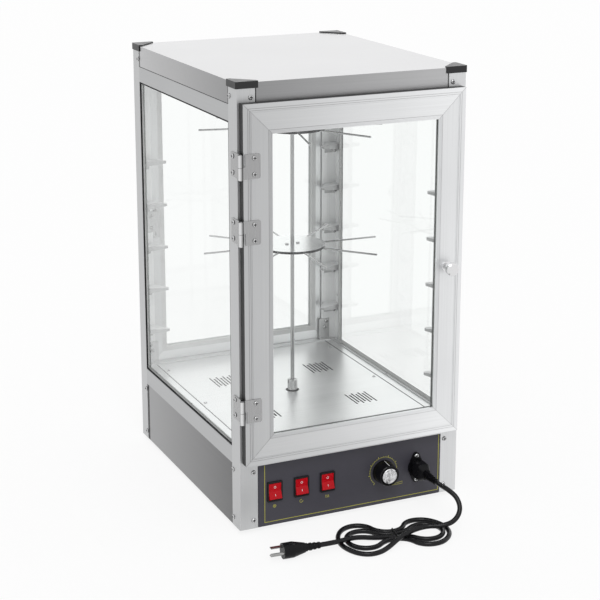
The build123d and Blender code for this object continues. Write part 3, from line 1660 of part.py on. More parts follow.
with BuildPart() as mains_plug:
    with BuildSketch(Plane(origin=plug_start, x_dir=plug_direction, z_dir=(0, 0, 1))):
        with BuildLine():
            Polyline(
                *relief_profile(plug_relief_length, relief_end_diameter, relief_start_diameter, relief_rings - 1),
                close=True,
            )
        make_face()
    revolve(axis=Axis(plug_start, plug_direction))
    with BuildSketch(plug_plane.offset(plug_relief_length)):
        Circle(plug_neck_width / 2)
    with BuildSketch(plug_plane.offset(plug_relief_length + plug_body_length * 0.55)):
        Circle(plug_face_diameter / 2)
    loft()
    with BuildSketch(plug_plane.offset(plug_relief_length + plug_body_length * 0.55)):
        Circle(plug_face_diameter / 2)
    extrude(amount=plug_body_length * 0.45)
    with BuildSketch(plug_face_plane):
        with Locations((-plug_blade_lift, plug_blade_pitch / 2), (-plug_blade_lift, -plug_blade_pitch / 2)):
            Rectangle(plug_blade_width, plug_blade_sheet)
        with Locations((plug_pin_drop, 0)):
            Circle(plug_pin_diameter / 2)
    extrude(amount=-plug_pin_root, mode=Mode.SUBTRACT)
save(mains_plug.part, "mains_plug")

with BuildPart() as plug_pins:
    with BuildSketch(plug_face_plane.offset(-plug_pin_root)):
        with Locations((-plug_blade_lift, plug_blade_pitch / 2), (-plug_blade_lift, -plug_blade_pitch / 2)):
            Rectangle(plug_blade_width, plug_blade_sheet)
    extrude(amount=plug_pin_root + plug_blade_length)
    with BuildSketch(plug_face_plane.offset(-plug_pin_root)):
        with Locations((plug_pin_drop, 0)):
            Circle(plug_pin_diameter / 2)
    extrude(amount=plug_pin_root + plug_pin_length)
save(plug_pins.part, "plug_pins")
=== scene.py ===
"""A rotating display case, dressed for its picture.

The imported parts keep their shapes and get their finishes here. The mains lead is drawn as one smooth
line, the screws get their domed heads and cross recesses, and the control panel gets its printed lines.
"""
import json
import math

import bmesh
import bpy
from mathutils import Matrix, Vector

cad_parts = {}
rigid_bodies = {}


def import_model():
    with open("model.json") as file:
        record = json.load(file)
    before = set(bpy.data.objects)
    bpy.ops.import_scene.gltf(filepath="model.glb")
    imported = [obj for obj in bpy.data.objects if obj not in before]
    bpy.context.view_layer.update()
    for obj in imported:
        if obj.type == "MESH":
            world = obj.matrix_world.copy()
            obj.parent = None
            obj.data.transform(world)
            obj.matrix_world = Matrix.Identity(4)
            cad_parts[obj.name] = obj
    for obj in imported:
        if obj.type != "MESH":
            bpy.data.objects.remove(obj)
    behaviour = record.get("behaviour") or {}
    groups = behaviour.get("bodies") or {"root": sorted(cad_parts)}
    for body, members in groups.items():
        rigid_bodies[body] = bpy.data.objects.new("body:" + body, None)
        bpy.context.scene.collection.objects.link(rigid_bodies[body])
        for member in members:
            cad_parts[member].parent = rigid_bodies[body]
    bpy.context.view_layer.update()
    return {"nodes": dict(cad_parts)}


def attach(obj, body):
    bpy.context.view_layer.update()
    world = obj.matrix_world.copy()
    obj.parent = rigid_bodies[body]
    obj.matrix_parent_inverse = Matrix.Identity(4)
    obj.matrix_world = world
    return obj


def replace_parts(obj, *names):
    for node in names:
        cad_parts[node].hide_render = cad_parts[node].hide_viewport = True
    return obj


for leftover in list(bpy.data.objects):
    bpy.data.objects.remove(leftover)

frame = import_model()
nodes = frame["nodes"]

MM = 0.001

# The camera, in metres and radians, and the picture it fills
PICTURE = 600
CAMERA_PLACE = (-1.0677, -2.3496, 1.0815)
CAMERA_TURN = 0.4306
CAMERA_PITCH = 0.2589
CAMERA_FOCUS = 1613.5
CAMERA_SHIFT = (0.0028, -0.1)

# Controls on the front panel, in millimetres
PANEL_FACE = -225.5
SWITCH_COLUMNS = {"rocker_light": -132.5, "rocker_motor": -87.0, "rocker_heat": -42.0}
SWITCH_LEVEL = 64.0
ROCKER_PIVOT = -224.0
ROCKER_THROW = math.radians(10)
DIAL_CENTRE = (57.5, 63.4)


# Camera and stage
def place_camera():
    """The camera at the picture's viewing angle, with its framing in the shift."""
    lens = bpy.data.cameras.new("picture_camera")
    lens.sensor_width = 36.0
    lens.lens = CAMERA_FOCUS * lens.sensor_width / PICTURE
    lens.shift_x, lens.shift_y = CAMERA_SHIFT
    lens.clip_start, lens.clip_end = 0.05, 400.0
    camera = bpy.data.objects.new("picture_camera", lens)
    camera.location = CAMERA_PLACE
    camera.rotation_euler = (math.pi / 2 - CAMERA_PITCH, 0, -CAMERA_TURN)
    bpy.context.collection.objects.link(camera)
    bpy.context.scene.camera = camera


place_camera()
bpy.context.scene.view_settings.view_transform = "Standard"


# Mesh helpers
def new_piece(name, work, material, smooth=True):
    """A mesh object from a finished bmesh."""
    bmesh.ops.recalc_face_normals(work, faces=work.faces)
    mesh = bpy.data.meshes.new(name)
    work.to_mesh(mesh)
    work.free()
    for face in mesh.polygons:
        face.use_smooth = smooth
    mesh.materials.append(material)
    piece = bpy.data.objects.new(name, mesh)
    bpy.context.collection.objects.link(piece)
    return piece


def facing(origin, right, up):
    """A matrix from a printed face's own axes, in millimetres, to the object's metres."""
    right, up = Vector(right).normalized(), Vector(up).normalized()
    out = right.cross(up)
    turn = Matrix((right, up, out)).transposed().to_4x4()
    return Matrix.Scale(MM, 4) @ Matrix.Translation(origin) @ turn


SHARPEST_MITRE = 0.4


def stroke(work, place, path, width, rise=0.06, closed=False, sink=0.04):
    """A printed line of even width along a path, raised a hair from its face."""
    count = len(path)
    rows = []
    for index, point in enumerate(path):
        here = Vector(point)
        before = Vector(path[index - 1]) if index or closed else here
        after = Vector(path[(index + 1) % count]) if index < count - 1 or closed else here
        lean_in = (here - before).normalized() if before != here else (after - here).normalized()
        lean_out = (after - here).normalized() if after != here else lean_in
        run = (lean_in + lean_out).normalized()
        side = Vector((-run.y, run.x)) * (width / 2 / max(SHARPEST_MITRE, run.dot(lean_in)))
        row = []
        for across, height in ((1, rise), (-1, rise), (-1, -sink), (1, -sink)):
            spot = here + side * across
            row.append(work.verts.new(place @ Vector((spot.x, spot.y, height))))
        rows.append(row)
    spans = list(zip(rows, rows[1:])) + ([(rows[-1], rows[0])] if closed else [])
    for first, second in spans:
        for corner in range(4):
            following = (corner + 1) % 4
            work.faces.new((first[corner], first[following], second[following], second[corner]))
    if not closed:
        work.faces.new(rows[0])
        work.faces.new(rows[-1])


def arc(centre, radius, start, end, steps):
    """Points on an arc, in degrees from the right, anticlockwise."""
    angles = [math.radians(start + (end - start) * step / steps) for step in range(steps + 1)]
    return [(centre[0] + radius * math.cos(a), centre[1] + radius * math.sin(a)) for a in angles]


def circle(centre, radius, steps=20):
    """Points all the way round a circle."""
    return arc(centre, radius, 0, 360, steps)[:-1]


# Where the tones of the case change, in metres from its middle and its foot
SIDE_SPAN = 0.19
DEPTH_SPAN = 0.24
FRONT_LEFT, WALL_ENDS = -0.4, 0.0
DOOR_HALF = (0.184525, 0.05, 0.279)
FRONT_DOOR_BOX = {"Centre": (-0.001725, -0.235, 0.398), "Half": DOOR_HALF}
REAR_DOOR_BOX = {"Centre": (0.001725, 0.235, 0.398), "Half": DOOR_HALF}
DOOR_SEAL_BAND = 0.004
FRAME_GROOVES = (0.007, 0.01, 0.04)
GROOVE_REACH = 0.0004
MITRE_REACH = 0.0005
POST_INSIDE_X, POST_INSIDE_Y = 0.1905, 0.2255
END_RAILS_FROM = 0.205
GASKET_LIP_REACH = 0.1887
# Where shade is painted in the floor's seams beside its ledges
FLOOR_SEAM_INNER, FLOOR_SEAM_OUTER = 0.1618, 0.1638

# Painted shadow in the gaps at the sheets' edges: the axis each lies across, its middle and how far it
# reaches from it
LID_GAP_SHADOWS = (
    ("X", -0.1605, 0.0014),
    ("X", 0.1605, 0.0014),
    ("Y", -0.1955, 0.0026),
    ("Y", 0.1955, 0.0026),
    ("Z", 0.671, 0.001),
)
BASE_GAP_SHADOWS = (("X", -0.161, 0.0016), ("X", 0.161, 0.0016), ("Y", 0.196, 0.009))

# The floor's vents: each group's middle, its slots' spacing, the band of painted shade round a slot and its
# half length
VENT_X, VENT_Y = 0.087, 0.084
VENT_PITCH = 0.006
VENT_SHADOW_RIM = 0.0015
VENT_GROUP_REACH = 3.2 * VENT_PITCH
VENT_SHORT = 0.0183
VENT_LONGER = 0.006

# Tones that several finishes share, among them painted shade and painted light, and the limits of the masks
# that go by the way a face looks
# Painted shade for the grooves and mitres of the door frames
LINE_SHADE_TONE = (0.42, 0.42, 0.423, 1)
# Painted shadow in the gaps at the sheets' edges
GAP_SHADOW_TONE = (0.012, 0.012, 0.012, 1)
POST_TONE = (0.58, 0.585, 0.59)
# Painted light on the posts: a rise in tone from left to right, and a paler tone on their faces inside the
# case
POST_PAINTED_LIGHT = (0.98, 1.2)
POST_INSIDE_PAINTED_LIGHT = (0.88, 0.882, 0.885, 1)
POST_INSIDE_DULLNESS = 0.7
FACE_UP_LEAST = 0.7
DISC_FACE_LEAST = 0.5
# How strongly the hinges' painted sheen follows the way a rounded face turns
PAINTED_ROUND_SHEEN = 0.95

# How much a metal's lines and clouds and a skin's grain change the roughness, and how deep they are in metres
LINE_ROUGHNESS = 0.8
CLOUD_ROUGHNESS = 0.6
SPECKLE_ROUGHNESS = 0.04
METAL_RELIEF = 0.0002
SKIN_RELIEF = 0.00015
NOISE_LOW, NOISE_HIGH = 0.3, 0.7

# How rough a coat is, how much a cut edge shines, and how much glass bends light
COAT_ROUGHNESS = 0.12
DULL_SHINE = 0.05
GLASS_BENDING = 1.46


# Shader helpers
def feed(tree, sockets, values):
    """Gives each input its value, or links it to the socket that feeds it."""
    for name, value in values.items():
        if isinstance(value, bpy.types.NodeSocket):
            tree.links.new(value, sockets[name])
        else:
            sockets[name].default_value = value


def wire(tree, kind, inputs=None, **settings):
    """A shader node with its settings and what feeds its inputs."""
    made = tree.nodes.new(kind)
    for name, value in settings.items():
        setattr(made, name, value)
    feed(tree, made.inputs, inputs or {})
    return made


def sums(tree, operation, first, second=0.0):
    """One step of arithmetic on numbers."""
    return wire(tree, "ShaderNodeMath", {0: first, 1: second}, operation=operation).outputs[0]


def vector_sums(tree, operation, first, second=(0.0, 0.0, 0.0)):
    """One step of arithmetic on vectors."""
    return wire(tree, "ShaderNodeVectorMath", {0: first, 1: second}, operation=operation).outputs[0]


def own_place(tree):
    """A place on the object, in its own metres."""
    return wire(tree, "ShaderNodeTexCoord").outputs["Object"]


def own_facing(tree):
    """The way a place faces, in the object's own axes."""
    return wire(tree, "ShaderNodeTexCoord").outputs["Normal"]


def parts_of(tree, vector):
    """A vector's parts along x, y and z."""
    return wire(tree, "ShaderNodeSeparateXYZ", {"Vector": vector}).outputs


def ramp(tree, value, start, end, low=0.0, high=1.0):
    """A value moved from one range to another, and kept inside it."""
    ranges = {"From Min": start, "From Max": end, "To Min": low, "To Max": high}
    return wire(tree, "ShaderNodeMapRange", {"Value": value, **ranges}).outputs["Result"]


def noise(tree, vector, scale, **more):
    """A noise value, mostly in its middle range."""
    return wire(tree, "ShaderNodeTexNoise", {"Vector": vector, "Scale": scale, **more}).outputs["Fac"]


def swing(tree, value, share):
    """A noise value moved from its middle range to one from -1 to 1, times a share."""
    return sums(tree, "MULTIPLY", ramp(tree, value, NOISE_LOW, NOISE_HIGH, -1.0, 1.0), share)


def blend(tree, mask, first, second, blend_type="MIX"):
    """The first colour where the mask is 0 and the second where it is 1."""
    inputs = {0: mask, 6: first, 7: second}
    return wire(tree, "ShaderNodeMix", inputs, data_type="RGBA", blend_type=blend_type).outputs[2]


def blend_vectors(tree, mask, first, second):
    """The first vector where the mask is 0 and the second where it is 1."""
    return wire(tree, "ShaderNodeMix", {0: mask, 4: first, 5: second}, data_type="VECTOR").outputs[1]


def mix_shaders(tree, share, first, second, output):
    """Gives an output the first shader where a share is 0 and the second where it is 1."""
    both = wire(tree, "ShaderNodeMixShader", {0: share, 1: first.outputs[0], 2: second.outputs[0]})
    tree.links.new(both.outputs[0], output.inputs["Surface"])


# Node groups that the finishes share
def start_group(name, inputs, outputs):
    """A node group with named inputs and outputs: its tree, what it is given and what it gives."""
    tree = bpy.data.node_groups.new(name, "ShaderNodeTree")
    kinds = {"colour": "NodeSocketColor", "value": "NodeSocketFloat", "vector": "NodeSocketVector"}
    for label, kind in inputs.items():
        tree.interface.new_socket(label, in_out="INPUT", socket_type=kinds[kind])
    for label, kind in outputs.items():
        tree.interface.new_socket(label, in_out="OUTPUT", socket_type=kinds[kind])
    return tree, tree.nodes.new("NodeGroupInput").outputs, tree.nodes.new("NodeGroupOutput").inputs


def place_group(tree, group, inputs):
    """The outputs of a node group where a material uses it."""
    return wire(tree, "ShaderNodeGroup", inputs, node_tree=group).outputs


def near(tree, value, level, reach):
    """1 where a value is within reach of a level, else 0."""
    away = sums(tree, "ABSOLUTE", sums(tree, "SUBTRACT", value, level))
    return sums(tree, "LESS_THAN", away, reach)


def build_drawn_lines():
    """Fine lines along a drawn or brushed metal, with slow clouds of tone under them."""
    tree, given, result = start_group(
        "drawn_lines",
        {"Tone": "colour", "Stretch": "vector", "Contrast": "value", "Cloud": "value", "Roughness": "value"},
        {"Colour": "colour", "Roughness": "value", "Height": "value"},
    )
    place = own_place(tree)
    lines = noise(tree, vector_sums(tree, "MULTIPLY", place, given["Stretch"]), 1.0, Detail=3.0)
    line_part = swing(tree, lines, given["Contrast"])
    cloud_part = swing(tree, noise(tree, place, 7.0, Detail=2.0), given["Cloud"])
    gain = sums(tree, "ADD", sums(tree, "ADD", line_part, cloud_part), 1.0)
    toned = wire(tree, "ShaderNodeHueSaturation", {"Value": gain, "Color": given["Tone"]})
    rough = sums(tree, "ADD", given["Roughness"], sums(tree, "MULTIPLY", line_part, LINE_ROUGHNESS))
    rougher = sums(tree, "ADD", rough, sums(tree, "MULTIPLY", cloud_part, CLOUD_ROUGHNESS))
    feed(tree, result, {"Colour": toned.outputs["Color"], "Roughness": rougher, "Height": lines})
    return tree


def build_moulded_skin():
    """The fine leather-like grain of a moulded or painted surface, with faint handling marks."""
    tree, given, result = start_group(
        "moulded_skin",
        {"Tone": "colour", "Grain": "value", "Handling": "value", "Roughness": "value"},
        {"Colour": "colour", "Roughness": "value", "Height": "value"},
    )
    place = own_place(tree)
    grain = noise(tree, place, given["Grain"], Detail=2.0, Roughness=0.6)
    mark_part = swing(tree, noise(tree, place, 38.0, Detail=4.0, Distortion=1.2), given["Handling"])
    gain = sums(tree, "ADD", mark_part, 1.0)
    toned = wire(tree, "ShaderNodeHueSaturation", {"Value": gain, "Color": given["Tone"]})
    speckled = sums(tree, "ADD", given["Roughness"], swing(tree, grain, SPECKLE_ROUGHNESS))
    rough = sums(tree, "ADD", speckled, mark_part)
    feed(tree, result, {"Colour": toned.outputs["Color"], "Roughness": rough, "Height": grain})
    return tree


def build_mitred_members():
    """A mitred frame's uprights, the lines of painted shade for the grooves rolled along its members and for
    its mitres, and its outer band.
    """
    tree, given, result = start_group(
        "mitred_members",
        {"Centre": "vector", "Half": "vector", "Band": "value"},
        {"Upright": "value", "Line": "value", "Outer": "value"},
    )
    offset = vector_sums(tree, "SUBTRACT", own_place(tree), given["Centre"])
    span = vector_sums(tree, "ABSOLUTE", offset)
    inset = parts_of(tree, vector_sums(tree, "SUBTRACT", given["Half"], span))
    edge = sums(tree, "MINIMUM", inset["X"], inset["Z"])
    line = near(tree, inset["X"], inset["Z"], MITRE_REACH)
    for groove in FRAME_GROOVES:
        line = sums(tree, "MAXIMUM", line, near(tree, edge, groove, GROOVE_REACH))
    upright = sums(tree, "LESS_THAN", inset["X"], inset["Z"])
    outer = sums(tree, "LESS_THAN", edge, given["Band"])
    feed(tree, result, {"Upright": upright, "Line": line, "Outer": outer})
    return tree


def build_faces_up():
    """1 on faces that look up or down, 0 on the rest."""
    tree, given, result = start_group("faces_up", {"Least": "value"}, {"Up": "value"})
    up = sums(tree, "ABSOLUTE", parts_of(tree, own_facing(tree))["Z"])
    feed(tree, result, {"Up": sums(tree, "GREATER_THAN", up, given["Least"])})
    return tree


DRAWN_LINES = build_drawn_lines()
MOULDED_SKIN = build_moulded_skin()
MITRED_MEMBERS = build_mitred_members()
FACES_UP = build_faces_up()


# Masks: each says where on a piece a finish changes
def within(tree, axis, reach, middle=0.0):
    """1 where a place is within reach of a middle along an axis, else 0."""
    return near(tree, parts_of(tree, own_place(tree))[axis], middle, reach)


def from_line(tree, axis, distance):
    """How far a place is from the nearer of two lines at a distance either side of the middle."""
    out = sums(tree, "ABSOLUTE", parts_of(tree, own_place(tree))[axis])
    return sums(tree, "ABSOLUTE", sums(tree, "SUBTRACT", out, distance))


def faces_up(tree, least=FACE_UP_LEAST):
    """1 on the faces that look up or down, else 0."""
    return place_group(tree, FACES_UP, {"Least": least})["Up"]


def disc_faces(tree):
    """1 on a disc's flat faces, 0 on its rim, where shade is painted."""
    return faces_up(tree, DISC_FACE_LEAST)


def painted_sheen_on_rounds(tree):
    """A painted sheen: half on flat sheet; a painted highlight where a rounded face turns to the front left,
    painted shade where it turns away.
    """
    way = parts_of(tree, own_facing(tree))
    turned = sums(tree, "MULTIPLY", sums(tree, "MULTIPLY", way["X"], way["Y"]), PAINTED_ROUND_SHEEN)
    return sums(tree, "ADD", turned, 0.5)


def painted_light_front_to_rear(tree):
    """A slow change from 0 at the case's front to 1 at its rear, along which a painted reflection grows
    lighter.
    """
    return ramp(tree, parts_of(tree, own_place(tree))["Y"], -DEPTH_SPAN, DEPTH_SPAN)


def painted_light_from_front_left(tree):
    """A slow change from 0 at the case's front left corner to 1 at the far ends of its walls, along which a
    painted reflection grows lighter.
    """
    place = parts_of(tree, own_place(tree))
    return ramp(tree, sums(tree, "ADD", place["X"], place["Y"]), FRONT_LEFT, WALL_ENDS)


def end_rails(tree):
    """1 on the rails at the front and rear, 0 on those at the sides; rails have no drawn line."""
    out = sums(tree, "ABSOLUTE", parts_of(tree, own_place(tree))["Y"])
    return sums(tree, "GREATER_THAN", out, END_RAILS_FROM), None


def uprights_of(box):
    """Hands a material the masks of a mitred door frame: its upright members and its lines."""

    def masks(tree):
        members = place_group(tree, MITRED_MEMBERS, box)
        return members["Upright"], members["Line"]

    return masks


def outer_band(box):
    """Hands a material the mask of a door's outer band."""
    return lambda tree: place_group(tree, MITRED_MEMBERS, {**box, "Band": DOOR_SEAL_BAND})["Outer"]


def pale_lip(tree):
    """1 on a side gasket's inner lip and the inner part of its edge round the opening, else 0."""
    return within(tree, "X", GASKET_LIP_REACH)


def vent_rim_shadows(tree):
    """1 in a narrow band of painted shade round each of the floor's slots, else 0."""
    across = from_line(tree, "X", VENT_X)
    near_slot = sums(tree, "LESS_THAN", sums(tree, "PINGPONG", across, VENT_PITCH / 2), VENT_SHADOW_RIM)
    in_group = sums(tree, "LESS_THAN", across, VENT_GROUP_REACH)
    is_long = sums(tree, "GREATER_THAN", sums(tree, "PINGPONG", across, VENT_PITCH), VENT_PITCH / 2)
    reach = sums(tree, "ADD", sums(tree, "MULTIPLY", is_long, VENT_LONGER), VENT_SHORT)
    along = sums(tree, "LESS_THAN", from_line(tree, "Y", VENT_Y), reach)
    return sums(tree, "MULTIPLY", sums(tree, "MULTIPLY", near_slot, in_group), along)


def floor_clear_of_painted_shade(tree):
    """1 on the floor's top, 0 where shade is painted: on its cut edges, along its seams and round its slots.
    """
    inner, outer = within(tree, "X", FLOOR_SEAM_INNER), within(tree, "X", FLOOR_SEAM_OUTER)
    dark = sums(tree, "MAXIMUM", sums(tree, "SUBTRACT", outer, inner), vent_rim_shadows(tree))
    return sums(tree, "MULTIPLY", faces_up(tree), sums(tree, "SUBTRACT", 1.0, dark))


# Materials
def start_material(name, tone):
    """A material with its Principled shader, and the colour that a plain viewer shows."""
    material = bpy.data.materials.new(name)
    material.use_nodes = True
    material.diffuse_color = (*tone, 1)
    tree = material.node_tree
    return material, tree, tree.nodes["Principled BSDF"]


def finish_surface(tree, shader, skin, bump, depth):
    """Feeds a shader from a skin group, with its height as a shallow bump."""
    relief = wire(tree, "ShaderNodeBump", {"Height": skin["Height"], "Strength": bump, "Distance": depth})
    inputs = {"Base Color": skin["Colour"], "Roughness": skin["Roughness"], "Normal": relief.outputs[0]}
    feed(tree, shader.inputs, inputs)


def draw_surface(tree, shader, toned, roughness, stretch, contrast=0.05, cloud=0.04, bump=0.05, metallic=1.0):
    """Gives a shader the lines and clouds of a drawn metal."""
    inputs = {"Tone": toned, "Stretch": stretch, "Contrast": contrast, "Cloud": cloud, "Roughness": roughness}
    finish_surface(tree, shader, place_group(tree, DRAWN_LINES, inputs), bump, METAL_RELIEF)
    feed(tree, shader.inputs, {"Metallic": metallic})


def mould_surface(tree, shader, toned, roughness, grain, handling=0.05, bump=0.1, shine=0.5):
    """Gives a shader the grain of a moulded skin."""
    inputs = {"Tone": toned, "Grain": grain, "Handling": handling, "Roughness": roughness}
    finish_surface(tree, shader, place_group(tree, MOULDED_SKIN, inputs), bump, SKIN_RELIEF)
    feed(tree, shader.inputs, {"Specular IOR Level": shine})


def painted_light_across(tree, tone, left, right):
    """Painted light: a tone multiplied by a factor that changes slowly from the case's left to its right."""
    across = ramp(tree, parts_of(tree, own_place(tree))["X"], -SIDE_SPAN, SIDE_SPAN)
    shades = blend(tree, across, (left, left, left, 1), (right, right, right, 1))
    return blend(tree, 1.0, tone, shades, "MULTIPLY")


def metal(name, tone, roughness, stretch, contrast, cloud, bump, metallic=1.0):
    """A drawn, brushed or plated metal."""
    material, tree, shader = start_material(name, tone)
    draw_surface(tree, shader, (*tone, 1), roughness, stretch, contrast, cloud, bump, metallic)
    return material


def two_tone_metal(name, tone, other, roughness, stretch, mask_from, dull=False):
    """A metal whose tone goes from one to the other where a mask does; the first may be dull."""
    material, tree, shader = start_material(name, tone)
    mask = mask_from(tree)
    toned = blend(tree, mask, (*tone, 1), (*other, 1))
    draw_surface(tree, shader, toned, roughness, stretch, metallic=mask if dull else 1.0)
    if dull:
        feed(tree, shader.inputs, {"Specular IOR Level": DULL_SHINE})
    return material


def two_way_metal(name, tone, other, roughness, stretches, masks_from, painted_lift=(1.0, 1.0)):
    """A drawn metal whose lines and tone change where a mask does, with lines of painted shade where another
    is 1, and painted light that raises its tone from left to right.
    """
    material, tree, shader = start_material(name, tone)
    mask, line = masks_from(tree)
    toned = blend(tree, mask, (*other, 1), (*tone, 1))
    if line is not None:
        toned = blend(tree, line, toned, LINE_SHADE_TONE)
    stretch = blend_vectors(tree, mask, stretches[1], stretches[0])
    draw_surface(tree, shader, painted_light_across(tree, toned, *painted_lift), roughness, stretch, 0.035, 0.03, 0.06)
    return material


def build_post_metal():
    """The posts' drawn metal with painted light: lighter towards the case's right, and paler, as well as
    duller, on the faces inside the case.
    """
    material, tree, shader = start_material("post_metal", POST_TONE)
    inside = sums(tree, "MULTIPLY", within(tree, "X", POST_INSIDE_X), within(tree, "Y", POST_INSIDE_Y))
    toned = blend(tree, inside, painted_light_across(tree, (*POST_TONE, 1), *POST_PAINTED_LIGHT), POST_INSIDE_PAINTED_LIGHT)
    metallic = sums(tree, "SUBTRACT", 1.0, sums(tree, "MULTIPLY", inside, POST_INSIDE_DULLNESS))
    draw_surface(tree, shader, toned, 0.46, UPRIGHT_LINES, 0.04, 0.02, 0.05, metallic)
    return material


def sheet_with_painted_light(name, near_tone, far_tone, top_tone, stretch, ramp_from, seams):
    """A brushed sheet with painted light: a painted reflection that changes slowly along its walls, painted
    shadow in the gaps where they end, and its top in a painted tone of its own.
    """
    material, tree, shader = start_material(name, near_tone)
    toned = blend(tree, ramp_from(tree), (*near_tone, 1), (*far_tone, 1))
    for axis, place, reach in seams:
        toned = blend(tree, within(tree, axis, reach, place), toned, GAP_SHADOW_TONE)
    toned = blend(tree, faces_up(tree), toned, (*top_tone, 1))
    draw_surface(tree, shader, toned, 0.36, stretch)
    return material


def moulded(name, tone, roughness, grain, handling, bump, coat=0.0, shine=0.5):
    """A moulded plastic, a rubber or a paint."""
    material, tree, shader = start_material(name, tone)
    mould_surface(tree, shader, (*tone, 1), roughness, grain, handling, bump, shine)
    feed(tree, shader.inputs, {"Coat Weight": coat, "Coat Roughness": COAT_ROUGHNESS})
    return material


def two_tone_skin(name, tone, other, roughness, grain, mask_from, shine=0.5):
    """A moulded skin whose tone goes from one to the other where a mask does."""
    material, tree, shader = start_material(name, tone)
    toned = blend(tree, mask_from(tree), (*tone, 1), (*other, 1))
    mould_surface(tree, shader, toned, roughness, grain, shine=shine)
    return material


def clear_glass(name, tint, roughness=0.0):
    """Glass that lets the lamps through to what it shuts in."""
    material, tree, shader = start_material(name, tint)
    feed(tree, shader.inputs, {"Transmission Weight": 1.0, "IOR": GLASS_BENDING})
    feed(tree, shader.inputs, {"Roughness": roughness, "Base Color": (*tint, 1)})
    lit = wire(tree, "ShaderNodeBsdfTransparent", {"Color": (*tint, 1)})
    path = wire(tree, "ShaderNodeLightPath").outputs
    through = sums(tree, "MAXIMUM", path["Is Shadow Ray"], path["Is Reflection Ray"])
    mix_shaders(tree, through, shader, lit, tree.nodes["Material Output"])
    return material


# Finishes. A stretch gives how many times a metre the lines of a metal change along x, y and z.
UPRIGHT_LINES = (900.0, 900.0, 4.0)
LEVEL_X_LINES = (4.0, 900.0, 900.0)
LEVEL_Y_LINES = (900.0, 4.0, 900.0)
DOOR_LINES = (UPRIGHT_LINES, LEVEL_X_LINES)
post_metal = build_post_metal()

# Drawn metals: two tones, roughness, two stretches, masks, and the painted light that raises their tone from
# left to right
rail_metal = two_way_metal(
    "rail_metal",
    (0.6, 0.605, 0.61),
    (0.5, 0.505, 0.51),
    0.46,
    (LEVEL_X_LINES, LEVEL_Y_LINES),
    end_rails,
)
front_door_metal = two_way_metal(
    "front_door_metal",
    (0.55, 0.555, 0.56),
    (0.6, 0.605, 0.61),
    0.45,
    DOOR_LINES,
    uprights_of(FRONT_DOOR_BOX),
    (0.95, 1.5),
)
rear_door_metal = two_way_metal(
    "rear_door_metal",
    (0.55, 0.555, 0.56),
    (0.65, 0.655, 0.66),
    0.45,
    DOOR_LINES,
    uprights_of(REAR_DOOR_BOX),
    (1.25, 1.45),
)

# Brushed sheets with painted light: the walls' near and far painted tones, the top's painted tone, stretch,
# the painted change of tone, the painted shadows of the seams
lid_steel = sheet_with_painted_light(
    "lid_steel",
    (0.3, 0.3, 0.304),
    (0.52, 0.52, 0.525),
    (0.56, 0.56, 0.565),
    (3.0, 350.0, 350.0),
    painted_light_from_front_left,
    LID_GAP_SHADOWS,
)
base_steel = sheet_with_painted_light(
    "base_steel",
    (0.13, 0.13, 0.132),
    (0.37, 0.37, 0.375),
    (0.3, 0.3, 0.304),
    (3.0, 3.0, 700.0),
    painted_light_front_to_rear,
    BASE_GAP_SHADOWS,
)

# Metals with a mask: two tones, roughness, stretch, mask
# The floor's dark, dull tone is painted shade on its cut edges, along its seams and round its slots.
floor_steel = two_tone_metal(
    "floor_steel", (0.02, 0.02, 0.021), (0.68, 0.68, 0.685), 0.34, (4.0, 500.0, 4.0), floor_clear_of_painted_shade, dull=True
)
# The hinges' zinc with a painted sheen: a painted highlight on rounds that face the front left, painted shade
# on those that turn away.
hinge_zinc_painted_sheen = two_tone_metal(
    "hinge_zinc_painted_sheen", (0.02, 0.02, 0.02), (0.74, 0.74, 0.745), 0.24, (500.0, 500.0, 60.0), painted_sheen_on_rounds
)
# Painted shade on the discs' rims, against their lighter flat faces
disc_steel = two_tone_metal(
    "disc_steel", (0.05, 0.05, 0.052), (0.7, 0.7, 0.705), 0.24, (300.0, 4.0, 300.0), disc_faces
)

# Plain metals: tone, roughness, stretch, contrast of the lines and of the clouds, bump, share of metal
zinc_plate = metal("zinc_plate", (0.5, 0.5, 0.505), 0.28, (500.0, 500.0, 60.0), 0.04, 0.06, 0.03)
screw_zinc = metal("screw_zinc", (0.52, 0.52, 0.525), 0.2, (500.0, 500.0, 500.0), 0.03, 0.05, 0.03)
brace_zinc = metal("brace_zinc", (0.52, 0.52, 0.525), 0.35, (500.0, 500.0, 60.0), 0.05, 0.08, 0.03, 0.6)
polished_steel = metal("polished_steel", (0.4, 0.4, 0.404), 0.16, (300.0, 300.0, 300.0), 0.02, 0.02, 0.02)
knob_chrome = metal("knob_chrome", (0.74, 0.74, 0.745), 0.2, (700.0, 20.0, 700.0), 0.02, 0.02, 0.02)
# Painted shade for the screws' cross recesses and the lowest band of their heads
painted_recess_shade = metal("painted_recess_shade", (0.05, 0.05, 0.052), 0.5, (500.0, 500.0, 500.0), 0.1, 0.1, 0.1)
motor_steel = metal("motor_steel", (0.42, 0.42, 0.43), 0.4, (300.0, 300.0, 20.0), 0.06, 0.08, 0.05)
element_sheath = metal("element_sheath", (0.16, 0.14, 0.12), 0.5, (120.0, 120.0, 120.0), 0.2, 0.25, 0.15)
pin_nickel = metal("pin_nickel", (0.34, 0.34, 0.335), 0.3, (300.0, 300.0, 300.0), 0.05, 0.1, 0.05)
insert_metal = metal("insert_metal", (0.72, 0.72, 0.73), 0.3, (260.0, 90.0, 260.0), 0.3, 0.12, 0.5)

